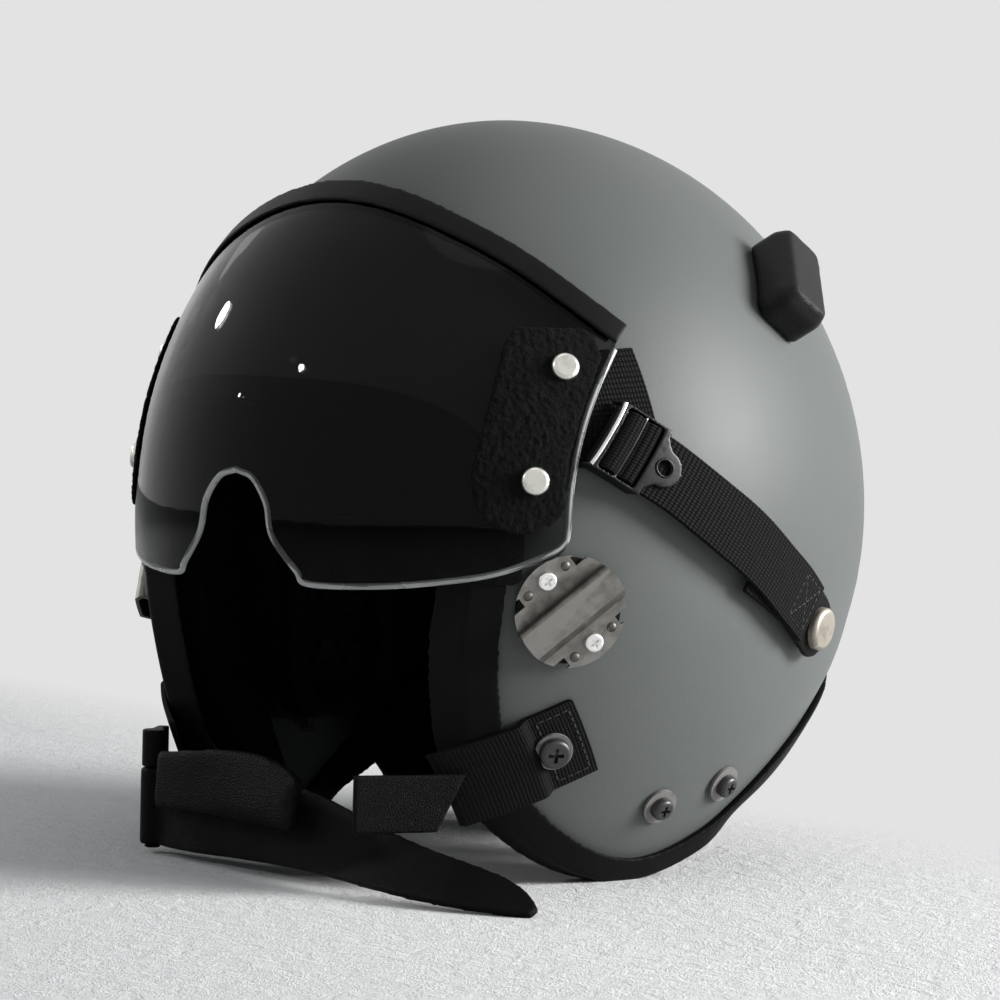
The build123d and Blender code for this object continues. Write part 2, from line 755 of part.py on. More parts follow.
def screw_set(places, seats, head, rise, nut):
    # Screws with their washers and the nuts inside, on both sides
    screws = []
    washers = []
    nuts = []
    for place, seat in zip(places, seats):
        washer_high = seat + washer_wall
        washers.append(post(place, washer_size / 2, seat, washer_high))
        with BuildPart() as screw:
            add(cross_head(place, head / 2, washer_high + hole_play, washer_high + hole_play + rise, rise / 2, head / 2))
            add(post(place, screw_shank / 2, -shell_wall - nut_wall, washer_high + rise / 3))
        screws.append(screw.part)
        nuts.append(post(place, nut / 2, -shell_wall - nut_wall - seat_gap, -shell_wall - seat_gap))
    return screws, washers, nuts


tab_screws, tab_washers, tab_nuts = screw_set([tab_screw_plane], [hole_play * 2 + tab_wall], pan_head, pan_rise, nut_size)
nape_screws, nape_washers, nape_nuts = screw_set(nape_planes, [seat_gap] * 2, nape_head, pan_rise, nut_size)
for name, solids in {
    "cheek_screws": tab_screws,
    "cheek_washers": tab_washers,
    "nape_screws": nape_screws,
    "nape_washers": nape_washers,
}.items():
    with BuildPart() as group:
        add(solids)
        add([mirrored(solid) for solid in solids])
        if "washers" in name:
            shanks = [post(place, screw_shank / 2 + hole_play, -overrun / 2, overrun / 2) for place in [tab_screw_plane, *nape_planes]]
            add(shanks, mode=Mode.SUBTRACT)
            add([mirrored(shank) for shank in shanks], mode=Mode.SUBTRACT)
    group.part.label = name
    export_step(group.part, f"parts/{name}.step")

screw_planes = [*receiver_screw_planes, tab_screw_plane, *nape_planes]

# Moulded rubber stops on the upper rear, one each side, that end the visor's lift
stop_plane = turned(face_plane(stop_share[0] * front_reach, stop_share[1] * lobe_drop), stop_turn)
with BuildPart() as visor_stop_left:
    with BuildSketch(stop_plane.offset(-stop_rise / 2)):
        RectangleRounded(stop_length, stop_width, stop_round)
    extrude(amount=stop_rise * 3 / 2 - stop_round)
    with BuildSketch(stop_plane.offset(stop_rise - stop_round)) as stop_top:
        RectangleRounded(stop_length, stop_width, stop_round)
    extrude(amount=stop_round, taper=stop_taper)
    add(dome(seat_gap), mode=Mode.SUBTRACT)
visor_stop_left.part.label = "visor_stop_left"
export_step(visor_stop_left.part, "parts/visor_stop_left.step")
with BuildPart() as visor_stop_right:
    add(mirrored(visor_stop_left.part))
visor_stop_right.part.label = "visor_stop_right"
export_step(visor_stop_right.part, "parts/visor_stop_right.step")

# Painted shell, open over the face and below, with a hole for every screw
screw_holes = [post(place, screw_shank / 2 + hole_play, -overrun / 2, overrun / 2) for place in screw_planes]
with BuildPart() as outer_shell:
    through(opening_side())
    keep_layer(-shell_wall, 0.0)
    add(screw_holes, mode=Mode.SUBTRACT)
    add([mirrored(hole) for hole in screw_holes], mode=Mode.SUBTRACT)
outer_shell.part.label = "outer_shell"
export_step(outer_shell.part, "parts/outer_shell.step")

# Nuts behind every screw and stud, on the shell's inner face
nut_seat = -shell_wall - seat_gap
other_nut_places = [*receiver_screw_planes, stud_plane, stop_plane]
left_nuts = [*tab_nuts, *nape_nuts]
left_nuts += [post(place, nut_size / 2, nut_seat - nut_drop - nut_wall, nut_seat - nut_drop) for place in other_nut_places]
nut_holes = [post(place, screw_shank / 2 + hole_play, nut_seat - overrun, nut_seat + overrun) for place in screw_planes]
with BuildPart() as inner_nuts:
    add(left_nuts)
    add(nut_holes, mode=Mode.SUBTRACT)
    add([mirrored(solid) for solid in inner_nuts.part.solids()])
inner_nuts.part.label = "inner_nuts"
export_step(inner_nuts.part, "parts/inner_nuts.step")

# Energy-absorbing foam inside the shell, cut away round the ear cups and over the nuts
ear_y = centre_y + ear_share[0] * front_reach
ear_z = centre_height + ear_share[1] * lobe_drop
nut_planes = [*screw_planes, stud_plane, stop_plane]
pockets = [post(place, nut_size / 2 + seat_gap, nut_seat - nut_wall * 2, overrun / 4) for place in nut_planes]


def ear_side(grow=0.0):
    with BuildSketch(Plane.YZ) as view:
        with Locations((ear_y, ear_z)):
            RectangleRounded(ear_length + 2 * grow, ear_height + 2 * grow, ear_round + grow)
    return view.sketch


foam_high = nut_seat
foam_low = foam_high - foam_wall
with BuildPart() as energy_liner:
    through(opening_side(-foam_setback))
    keep_layer(foam_low, foam_high)
    through(ear_side(seat_gap * 2), mode=Mode.SUBTRACT)
    with BuildSketch(Plane.YZ) as ear_drop:
        with Locations((ear_y, ear_z - ear_height)):
            Rectangle(ear_length + 4 * seat_gap, 2 * ear_height)
    through(ear_drop.sketch, mode=Mode.SUBTRACT)
    add(pockets, mode=Mode.SUBTRACT)
    add([mirrored(pocket) for pocket in pockets], mode=Mode.SUBTRACT)
energy_liner.part.label = "energy_liner"
export_step(energy_liner.part, "parts/energy_liner.step")

# Comfort pads under the foam: crown, brow and back of the head
pad_high = foam_low - seat_gap
with BuildPart() as crown_pad:
    with BuildSketch(Plane.XY.offset(centre_height)):
        with Locations((0, centre_y)):
            Ellipse(half_width * crown_pad_share, rear_reach * crown_pad_share)
    extrude(amount=crown_rise)
    keep_layer(pad_high - pad_wall, pad_high)
crown_pad.part.label = "crown_pad"
export_step(crown_pad.part, "parts/crown_pad.step")
for name, facing, rise_share in (("brow_pad", -1, brow_pad_share), ("rear_pad", 1, rear_pad_share)):
    pad_centre = (0, centre_y, centre_height + rise_share * crown_rise)
    with BuildPart() as head_pad:
        with BuildSketch(Plane(pad_centre, x_dir=(facing, 0, 0), z_dir=(0, -facing, 0))):
            RectangleRounded(head_pad_width, head_pad_height, head_pad_height / 3)
        extrude(amount=-rear_reach)
        keep_layer(pad_high - pad_wall, pad_high)
    head_pad.part.label = name
    export_step(head_pad.part, f"parts/{name}.step")

# Ear cups against the shell's sides, each with a grille, an earphone and a padded seal
ear_inner = half_width - ear_inset
with BuildPart() as ear_hollow:
    extrude(ear_side(-ear_wall), amount=half_width)
    add(dome(foam_high - ear_wall), mode=Mode.INTERSECT)
with BuildPart() as ear_cup_left:
    with BuildSketch(Plane.YZ.offset(ear_inner)):
        add(ear_side())
    extrude(ear_side(), amount=half_width)
    add(dome(foam_high), mode=Mode.INTERSECT)
    Box(2 * ear_inner, 2 * rear_reach, 2 * (crown_rise + centre_height), mode=Mode.SUBTRACT)
    add(ear_hollow.part, mode=Mode.SUBTRACT)
    add(pockets, mode=Mode.SUBTRACT)
ear_cup_left.part.label = "ear_cup_left"
export_step(ear_cup_left.part, "parts/ear_cup_left.step")
with BuildPart() as ear_cup_right:
    add(mirrored(ear_cup_left.part))
ear_cup_right.part.label = "ear_cup_right"
export_step(ear_cup_right.part, "parts/ear_cup_right.step")
with BuildPart() as ear_grille_left:
    with BuildSketch(Plane.YZ.offset(ear_inner + seat_gap)) as grille_face:
        with Locations((ear_y, ear_z)):
            RectangleRounded(
                ear_length - 2 * ear_wall - 2 * seat_gap,
                ear_height - 2 * ear_wall - 2 * seat_gap,
                ear_round - ear_wall - seat_gap,
            )
            with PolarLocations(speaker_size / 4, grille_holes):
                Circle(grille_hole / 2, mode=Mode.SUBTRACT)
            with PolarLocations(speaker_size * 0.4, grille_holes * 2):
                Circle(grille_hole / 2, mode=Mode.SUBTRACT)
    extrude(amount=ear_wall)
ear_grille_left.part.label = "ear_grille_left"
export_step(ear_grille_left.part, "parts/ear_grille_left.step")
with BuildPart() as ear_grille_right:
    add(mirrored(ear_grille_left.part))
ear_grille_right.part.label = "ear_grille_right"
export_step(ear_grille_right.part, "parts/ear_grille_right.step")
with BuildPart() as earphones:
    with BuildSketch(Plane.YZ.offset(ear_inner + ear_wall + 2 * seat_gap)):
        with Locations((ear_y, ear_z)):
            Circle(speaker_size / 2)
    extrude(amount=speaker_wall)
    fillet(earphones.faces().sort_by(Axis.X)[-1].edges(), speaker_wall / 4)
    add(mirrored(earphones.part))
earphones.part.label = "earphones"
export_step(earphones.part, "parts/earphones.step")
with BuildPart() as ear_seal_left:
    with BuildSketch(Plane.YZ.offset(ear_inner - seat_gap - seal_wall)):
        with Locations((ear_y, ear_z)):
            RectangleRounded(ear_length, ear_height, ear_round)
            RectangleRounded(ear_length - 2 * seal_band, ear_height - 2 * seal_band, ear_round / 2, mode=Mode.SUBTRACT)
    extrude(amount=seal_wall)
    fillet(ear_seal_left.faces().sort_by(Axis.X)[0].edges(), seal_band / 3)
ear_seal_left.part.label = "ear_seal_left"
export_step(ear_seal_left.part, "parts/ear_seal_left.step")
with BuildPart() as ear_seal_right:
    add(mirrored(ear_seal_left.part))
ear_seal_right.part.label = "ear_seal_right"
export_step(ear_seal_right.part, "parts/ear_seal_right.step")

# Nape strap inside the rear edge, and the padded roll that hangs from it to the ground
nape_high = -shell_wall - roll_wall - seat_gap
with BuildPart() as nape_strap:
    through(opening_side(roll_wall))
    through(opening_side(-foam_setback + seat_gap), mode=Mode.SUBTRACT)
    keep_layer(nape_high - webbing_wall, nape_high)
    with Locations((0, centre_y + (nape_start_share - 1) * rear_reach, centre_height)):
        Box(2 * half_width, 2 * rear_reach, 4 * centre_height, mode=Mode.SUBTRACT)
nape_strap.part.label = "nape_strap"
export_step(nape_strap.part, "parts/nape_strap.step")
with BuildPart() as nape_zone:
    through(opening_side(roll_wall + seat_gap))
    add(dome(nape_high - webbing_wall - seat_gap), mode=Mode.SUBTRACT)
with BuildPart() as nape_pad:
    for width, depth, share, level in nape_pad_rows:
        with BuildSketch(Plane.XY.offset(level)):
            with Locations((0, centre_y + share * rear_reach)):
                RectangleRounded(width, depth, depth * nape_round_share)
    loft()
    add(nape_zone.part, mode=Mode.SUBTRACT)
nape_pad.part.label = "nape_pad"
export_step(nape_pad.part, "parts/nape_pad.step")

# Padded leather collar inside each side of the rear edge, from the ear to the nape pad
collar_high = nape_high - webbing_wall - seat_gap
collar_inner = max(row[0] for row in nape_pad_rows) / 2 + seat_gap
with BuildPart() as nape_collar_left:
    through(opening_side(collar_drop))
    through(opening_side(-foam_setback + seat_gap), mode=Mode.SUBTRACT)
    keep_layer(collar_high - collar_wall, collar_high)
    with Locations((0, centre_y + (collar_start_share - 1) * rear_reach, centre_height)):
        Box(2 * half_width, 2 * rear_reach, 4 * centre_height, mode=Mode.SUBTRACT)
    with Locations((collar_inner - half_width, centre_y, centre_height)):
        Box(2 * half_width, 4 * rear_reach, 4 * centre_height, mode=Mode.SUBTRACT)
nape_collar_left.part.label = "nape_collar_left"
export_step(nape_collar_left.part, "parts/nape_collar_left.step")
with BuildPart() as nape_collar_right:
    add(mirrored(nape_collar_left.part))
nape_collar_right.part.label = "nape_collar_right"
export_step(nape_collar_right.part, "parts/nape_collar_right.step")

# Leather end of each webbing tab; the left one holds the snap socket
tab_out = Vector(tab_end_run[1], -tab_end_run[0], 0).normalized()
tab_end_start = Vector(tab_end_share[0] * half_width, centre_y + tab_end_share[1] * front_reach, tab_end_level)
end_plane = Plane(tab_end_start, x_dir=Vector(*tab_end_run), z_dir=tab_out)
with BuildPart() as tab_end_left:
    with BuildSketch(end_plane):
        with BuildLine():
            Polyline(
                (0, tab_end_height / 2),
                (tab_end_length, tab_end_height / 2),
                (tab_end_length, -tab_end_height / 2),
                (tab_end_height / 2, -tab_end_height / 2),
                close=True,
            )
        make_face()
    extrude(amount=chin_wall)
    fillet(tab_end_left.edges().filter_by(Axis.Z), chin_wall / 3)
tab_end_left.part.label = "tab_end_left"
export_step(tab_end_left.part, "parts/tab_end_left.step")
socket_plane = Plane(end_plane.from_local_coords((tab_end_length * socket_share, 0, 0)), x_dir=end_plane.x_dir, z_dir=end_plane.z_dir)
with BuildPart() as snap_socket:
    with BuildSketch(socket_plane.offset(chin_wall + hole_play)):
        Circle(cap_size / 2)
        Circle(cap_size / 2 - washer_wall * 2, mode=Mode.SUBTRACT)
    extrude(amount=washer_wall)
    with BuildSketch(socket_plane.offset(chin_wall + hole_play)):
        Circle(cap_size / 2 - washer_wall)
    extrude(amount=washer_wall / 2)
snap_socket.part.label = "snap_socket"
export_step(snap_socket.part, "parts/snap_socket.step")

# Right-hand end: a short leather fold with the sewn pin that the chin strap swings on
hinge_place = tab_end_start + Vector(*tab_end_run).normalized() * hinge_run
hinge_spot = Vector(-hinge_place.X, hinge_place.Y, 0)
with BuildPart() as chin_anchor:
    with BuildSketch(Plane.XY.offset(chin_width + chin_lift + seat_gap)):
        with Locations((hinge_spot.X, hinge_spot.Y)):
            Circle(hinge_pin + chin_wall)
        with BuildLine():
            inner = Vector(-tab_end_start.X, tab_end_start.Y)
            swing = (Vector(hinge_spot.X, hinge_spot.Y) - inner).normalized()
            cross = Vector(-swing.Y, swing.X) * (chin_wall / 2 + hinge_pin / 2)
            far = Vector(hinge_spot.X, hinge_spot.Y)
            Polyline(inner + cross, far + cross, far - cross, inner - cross, close=True)
        make_face()
    extrude(amount=anchor_height)
    with BuildSketch(Plane.XY.offset(chin_lift - washer_wall)):
        with Locations((hinge_spot.X, hinge_spot.Y)):
            Circle(hinge_pin)
    extrude(amount=chin_width + washer_wall + anchor_height)
    with BuildSketch(Plane.XY.offset(chin_lift - washer_wall - seat_gap)):
        with Locations((hinge_spot.X, hinge_spot.Y)):
            Circle(hinge_pin + chin_wall / 2)
    extrude(amount=washer_wall)
chin_anchor.part.label = "chin_anchor"
export_step(chin_anchor.part, "parts/chin_anchor.step")

# Chin strap: leather band that swings on the pin, twisting down to its pointed tongue
with BuildPart() as chin_strap:
    for x_share, y_share, low, lean, width in chin_rows:
        lean_turn = math.radians(lean)
        up = Vector(0, math.sin(lean_turn), math.cos(lean_turn))
        foot = Vector(x_share * half_width, centre_y + y_share * front_reach, low)
        with BuildSketch(Plane(foot + up * (width / 2), x_dir=up, z_dir=(1, 0, 0))):
            Rectangle(width, chin_wall)
    loft()
    with BuildSketch(Plane.XY.offset(chin_lift)):
        with Locations((hinge_spot.X, hinge_spot.Y)):
            Circle(hinge_pin + chin_wall + seat_gap)
    extrude(amount=chin_width)
    with BuildSketch(Plane.XY.offset(-chin_lift)):
        with Locations((hinge_spot.X, hinge_spot.Y)):
            Circle(hinge_pin + seat_gap)
    extrude(amount=chin_width + 3 * chin_lift, mode=Mode.SUBTRACT)
    with BuildSketch(Plane.XY):
        Rectangle(2 * rear_reach, 2 * rear_reach)
    extrude(amount=-overrun, mode=Mode.SUBTRACT)
chin_strap.part.label = "chin_strap"
export_step(chin_strap.part, "parts/chin_strap.step")

# Padded flap folded over the strap's outer face
with BuildPart() as chin_pad:
    for x_share, y_share, low, lean, width in chin_pad_rows:
        lean_turn = math.radians(lean)
        up = Vector(0, math.sin(lean_turn), math.cos(lean_turn))
        foot = Vector(x_share * half_width, centre_y + y_share * front_reach, low)
        with BuildSketch(Plane(foot + up * (width / 2), x_dir=up, z_dir=(1, 0, 0))):
            RectangleRounded(width, chin_pad_wall, chin_pad_wall * 0.45)
    loft()
chin_pad.part.label = "chin_pad"
export_step(chin_pad.part, "parts/chin_pad.step")
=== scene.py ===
import random
from math import cos, hypot, pi, radians, sin, sqrt

import bpy
from mathutils import Matrix, Vector, noise


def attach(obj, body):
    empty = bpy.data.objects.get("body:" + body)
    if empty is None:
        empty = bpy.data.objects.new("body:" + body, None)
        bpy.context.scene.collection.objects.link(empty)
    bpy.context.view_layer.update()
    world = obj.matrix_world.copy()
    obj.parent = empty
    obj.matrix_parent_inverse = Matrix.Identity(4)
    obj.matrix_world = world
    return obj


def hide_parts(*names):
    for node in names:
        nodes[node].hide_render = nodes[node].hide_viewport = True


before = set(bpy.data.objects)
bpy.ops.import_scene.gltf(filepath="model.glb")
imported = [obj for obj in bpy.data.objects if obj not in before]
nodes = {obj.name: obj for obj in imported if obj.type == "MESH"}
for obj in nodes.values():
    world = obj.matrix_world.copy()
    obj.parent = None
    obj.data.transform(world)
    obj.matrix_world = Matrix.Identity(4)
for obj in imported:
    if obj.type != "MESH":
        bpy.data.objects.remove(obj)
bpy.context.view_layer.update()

scene = bpy.context.scene
random.seed(7)
print("frame loaded")

# The helmet's own curve, so that straps and tabs can be laid on it
dome = {
    "halfWidth": 0.120, "frontReach": 0.131, "rearReach": 0.1456, "crownRise": 0.1393,
    "sideSpan": 0.169, "frontSpan": 0.183, "rearSpan": 0.105, "heelReach": 0.045,
    "lobeDrop": 0.119, "centreY": -0.0043, "centreZ": 0.1214,
}


def shrink(level, span):
    return sqrt(max(0.0, 1 - (level / span) ** 2))


def halfSizes(level, gap):
    # half width, front reach and rear reach of one level, at a gap over the paint
    if level > 0:
        top = shrink(level, dome["crownRise"] + gap)
        return [(dome[size] + gap) * top for size in ("halfWidth", "frontReach", "rearReach")]
    side = (dome["halfWidth"] + gap) * shrink(level, dome["sideSpan"] + gap)
    front = (dome["frontReach"] + gap) * shrink(level, dome["frontSpan"] + gap)
    heel = shrink(level, dome["rearSpan"])
    rear = hypot((dome["rearReach"] + gap) * heel, (dome["heelReach"] + gap) * sqrt(1 - heel ** 2))
    return side, front, rear


def domeX(y, z, gap):
    # how far out the helmet's side is, at a place in side view
    side, front, rear = halfSizes(z - dome["centreZ"], gap)
    run = y - dome["centreY"]
    return side * shrink(run, front if run < 0 else rear)


def sharePlace(yShare, zShare):
    # place in side view, from shares of the front reach and the lobe's drop
    return dome["centreY"] + yShare * dome["frontReach"], dome["centreZ"] + zShare * dome["lobeDrop"]


def facePlace(yShare, zShare, turn=0.0):
    # matrix on the left face: X to the rear, Z outwards, then turned about Z
    y, z = sharePlace(yShare, zShare)
    step = 0.0005
    place = Vector((domeX(y, z, 0), y, z))
    alongY = Vector((domeX(y + step, z, 0) - domeX(y - step, z, 0), 2 * step, 0))
    alongZ = Vector((domeX(y, z + step, 0) - domeX(y, z - step, 0), 0, 2 * step))
    outward = alongY.cross(alongZ).normalized()
    across = Vector((0, 0, 1)).cross(outward).normalized()
    grid = Matrix((across, outward.cross(across), outward)).transposed().to_4x4()
    return Matrix.Translation(place) @ grid @ Matrix.Rotation(radians(turn), 4, "Z")


# modelling helpers


def only(piece):
    bpy.ops.object.select_all(action="DESELECT")
    piece.select_set(True)
    bpy.context.view_layer.objects.active = piece


def modify(piece, kind, **settings):
    # adds one modifier and applies it
    only(piece)
    modifier = piece.modifiers.new(kind.lower(), kind)
    for setting, value in settings.items():
        setattr(modifier, setting, value)
    bpy.ops.object.modifier_apply(modifier=modifier.name)


def smoothShade(piece, angle=40):
    only(piece)
    bpy.ops.object.shade_smooth_by_angle(angle=radians(angle))


def tidyMesh(piece, merge=0.000001):
    # merges doubles and turns all faces outwards
    only(piece)
    bpy.ops.object.mode_set(mode="EDIT")
    bpy.ops.mesh.select_all(action="SELECT")
    bpy.ops.mesh.remove_doubles(threshold=merge)
    bpy.ops.mesh.normals_make_consistent(inside=False)
    bpy.ops.object.mode_set(mode="OBJECT")


def move(piece, matrix):
    piece.data.transform(matrix)
    piece.data.update()
    return piece


def slab(name, length, width, low, high, cuts, edge=0.00035):
    # blank of webbing or leather: X along it from 0, Y across, Z from low to high, its map in mm
    bpy.ops.object.select_all(action="DESELECT")
    bpy.ops.mesh.primitive_grid_add(x_subdivisions=cuts[0], y_subdivisions=cuts[1], size=1)
    piece = bpy.context.object
    piece.name = name
    for corner in piece.data.uv_layers[0].data:
        corner.uv = (corner.uv[0] * length * 1000, corner.uv[1] * width * 1000)
    move(piece, Matrix.Translation((length / 2, 0, low)) @ Matrix.Diagonal((length, width, 1, 1)))
    modify(piece, "SOLIDIFY", thickness=high - low, offset=1.0)
    modify(piece, "BEVEL", width=edge, segments=3, limit_method="ANGLE", angle_limit=radians(50))
    smoothShade(piece)
    return piece


def shape(piece, change):
    # moves every point by a rule
    for vertex in piece.data.vertices:
        vertex.co = change(vertex.co)
    piece.data.update()


def easeIn(value, start, end):
    share = min(1.0, max(0.0, (value - start) / (end - start)))
    return share * share * (3 - 2 * share)


def sidePlace(start, run):
    # matrix from a flat blank to side view: X along the run, Z becomes the height over the paint
    along = Vector(run).normalized()
    grid = Matrix(((0, 0, 1), (along[0], -along[1], 0), (along[1], along[0], 0))).to_4x4()
    return Matrix.Translation((0, start[0], start[1])) @ grid


def layOnDome(piece):
    shape(piece, lambda spot: Vector((domeX(spot.y, spot.z, spot.x), spot.y, spot.z)))


def smoothLine(places, steps):
    # points of a curve that runs through every place
    spots = [Vector(place) for place in places]
    spots = [2 * spots[0] - spots[1], *spots, 2 * spots[-1] - spots[-2]]
    line = []
    for back, start, end, ahead in zip(spots, spots[1:], spots[2:], spots[3:]):
        for step in range(steps):
            share = step / steps
            bend = (2 * back - 5 * start + 4 * end - ahead) * share ** 2 + (3 * start - back - 3 * end + ahead) * share ** 3
            line.append(start + ((end - back) * share + bend) / 2)
    return [*line, spots[-2]]


def tube(name, spots, radius, closed=False):
    # round wire or cord along a line of points
    curve = bpy.data.curves.new(name, "CURVE")
    curve.dimensions = "3D"
    curve.bevel_depth = radius
    curve.bevel_resolution = 4
    curve.use_fill_caps = not closed
    line = curve.splines.new("POLY")
    line.points.add(len(spots) - 1)
    line.use_cyclic_u = closed
    for point, spot in zip(line.points, spots):
        point.co = (*spot, 1)
    piece = bpy.data.objects.new(name, curve)
    scene.collection.objects.link(piece)
    only(piece)
    bpy.ops.object.convert(target="MESH")
    piece = bpy.context.object
    smoothShade(piece, 60)
    return piece


def mirrorPiece(piece, name):
    # the wearer's right-hand copy, with its own mesh
    twin = piece.copy()
    twin.data = piece.data.copy()
    twin.name = name
    scene.collection.objects.link(twin)
    twin.data.transform(Matrix.Diagonal((-1, 1, 1, 1)))
    twin.data.flip_normals()
    return twin


def nodeCopy(node, name):
    # a free copy of a frame node's mesh, with its loose triangles merged
    piece = bpy.data.objects.new(name, nodes[node].data.copy())
    scene.collection.objects.link(piece)
    piece.data.materials.clear()
    tidyMesh(piece)
    return piece


def meltedCopy(node, name, voxel, smoothing):
    # the same form with even faces and rounded edges
    piece = nodeCopy(node, name)
    modify(piece, "REMESH", mode="VOXEL", voxel_size=voxel)
    modify(piece, "SMOOTH", factor=0.5, iterations=smoothing)
    smoothShade(piece, 80)
    return piece


def stuffedCopy(node, name, voxel, pressure, cap, inset=0.0):
    # a pad blown up by a cloth simulation, no point moving further than the cap
    piece = meltedCopy(node, name, voxel, 3)
    if inset:
        modify(piece, "DISPLACE", strength=-inset, mid_level=0.0)
    rest = [vertex.co.copy() for vertex in piece.data.vertices]
    cloth = piece.modifiers.new("cloth", "CLOTH")
    cloth.settings.use_pressure = True
    cloth.settings.uniform_pressure_force = pressure
    cloth.settings.effector_weights.gravity = 0
    for step in range(1, 21):
        scene.frame_set(step)
    only(piece)
    bpy.ops.object.modifier_apply(modifier=cloth.name)
    scene.frame_set(1)
    for vertex, start in zip(piece.data.vertices, rest):
        shift = vertex.co - start
        if shift.length > cap:
            vertex.co = start + shift.normalized() * cap
    modify(piece, "SMOOTH", factor=0.5, iterations=3)
    modify(piece, "SUBSURF", levels=1, render_levels=1)
    smoothShade(piece, 80)
    return piece


def settle(piece, body, material, replaced=()):
    # material, ride, slot and the nodes that the piece stands for
    piece.data.materials.clear()
    piece.data.materials.append(material)
    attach(piece, body)
    if replaced:
        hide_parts(*replaced)
    return piece


# node groups that several finishes share


def addNode(tree, kind, links=None, **settings):
    node = tree.nodes.new(kind)
    for setting, value in settings.items():
        setattr(node, setting, value)
    for socket, value in (links or {}).items():
        if isinstance(value, bpy.types.NodeSocket):
            tree.links.new(value, node.inputs[socket])
        else:
            node.inputs[socket].default_value = value
    return node


def calculate(tree, operation, *values, clamp=False):
    return addNode(tree, "ShaderNodeMath", dict(enumerate(values)), operation=operation, use_clamp=clamp).outputs[0]


def newGroup(name, inputs, outputs):
    group = bpy.data.node_groups.new(name, "ShaderNodeTree")
    for socket, kind, value in inputs:
        made = group.interface.new_socket(socket, in_out="INPUT", socket_type=kind)
        if value is not None:
            made.default_value = value
    for socket, kind in outputs:
        group.interface.new_socket(socket, in_out="OUTPUT", socket_type=kind)
    return group, group.nodes.new("NodeGroupInput").outputs, group.nodes.new("NodeGroupOutput").inputs


number = "NodeSocketFloat"
arrow = "NodeSocketVector"

# ribs across the run and threads along it, on a map in millimetres; Shade is painted shade in the grooves and a painted
# highlight on the rib tops, with random tone
weaveGroup, given, told = newGroup(
    "webbingWeave",
    [("Vector", arrow, None), ("Rib Pitch", number, 1.7), ("Thread Pitch", number, 1.1)],
    [("Height", number), ("Shade", number)],
)
parts = addNode(weaveGroup, "ShaderNodeSeparateXYZ", {"Vector": given["Vector"]}).outputs
wobble = addNode(weaveGroup, "ShaderNodeTexNoise", {"Vector": given["Vector"], "Scale": 0.35, "Detail": 2.0})
drift = calculate(weaveGroup, "MULTIPLY", wobble.outputs[0], 0.35)
along = calculate(weaveGroup, "DIVIDE", calculate(weaveGroup, "ADD", parts[0], drift), given["Rib Pitch"])
rib = calculate(weaveGroup, "ABSOLUTE", calculate(weaveGroup, "SINE", calculate(weaveGroup, "MULTIPLY", along, pi)))
across = calculate(weaveGroup, "DIVIDE", parts[1], given["Thread Pitch"])
thread = calculate(weaveGroup, "ABSOLUTE", calculate(weaveGroup, "SINE", calculate(weaveGroup, "MULTIPLY", across, pi)))
body = calculate(weaveGroup, "MULTIPLY_ADD", thread, 0.55, 0.45)
height = calculate(weaveGroup, "MULTIPLY", calculate(weaveGroup, "POWER", rib, 0.7), body)
weaveGroup.links.new(height, told["Height"])
# Shade follows the height: painted shade in the grooves and a painted highlight on the rib tops, plus random tone
weaveGroup.links.new(calculate(weaveGroup, "MULTIPLY_ADD", wobble.outputs[0], 0.25, height, clamp=True), told["Shade"])

# pebbled cells with creases between them, for leather, rubber and moulded plastic
grainGroup, given, told = newGroup(
    "pebbleGrain",
    [("Vector", arrow, None), ("Scale", number, 900.0), ("Crease", number, 0.5)],
    [("Height", number), ("Shade", number)],
)
cells = addNode(
    grainGroup, "ShaderNodeTexVoronoi", {"Vector": given["Vector"], "Scale": given["Scale"]}, feature="DISTANCE_TO_EDGE"
)
clouds = addNode(grainGroup, "ShaderNodeTexNoise", {"Vector": given["Vector"], "Scale": 60.0, "Detail": 5.0})
fine = calculate(grainGroup, "MULTIPLY", given["Scale"], 1.7)
mist = addNode(grainGroup, "ShaderNodeTexNoise", {"Vector": given["Vector"], "Scale": fine, "Detail": 3.0})
pebble = calculate(grainGroup, "MINIMUM", calculate(grainGroup, "MULTIPLY", cells.outputs[0], 3.2), 1.0)
mixed = calculate(grainGroup, "MULTIPLY_ADD", pebble, given["Crease"], mist.outputs[0])
grainGroup.links.new(mixed, told["Height"])
grainGroup.links.new(clouds.outputs[0], told["Shade"])

# soft clouds of handling marks and small specks of dust
dustGroup, given, told = newGroup(
    "dustAndMarks",
    [("Vector", arrow, None), ("Cloud Scale", number, 18.0), ("Speck Scale", number, 700.0), ("Speck Level", number, 0.7)],
    [("Clouds", number), ("Specks", number)],
)
clouds = addNode(
    dustGroup, "ShaderNodeTexNoise", {"Vector": given["Vector"], "Scale": given["Cloud Scale"], "Detail": 6.0, "Distortion": 0.4}
)
specks = addNode(dustGroup, "ShaderNodeTexNoise", {"Vector": given["Vector"], "Scale": given["Speck Scale"], "Detail": 1.0})
over = calculate(dustGroup, "SUBTRACT", specks.outputs[0], given["Speck Level"])
speck = calculate(dustGroup, "MULTIPLY", over, 12.0, clamp=True)
dustGroup.links.new(clouds.outputs[0], told["Clouds"])
dustGroup.links.new(speck, told["Specks"])

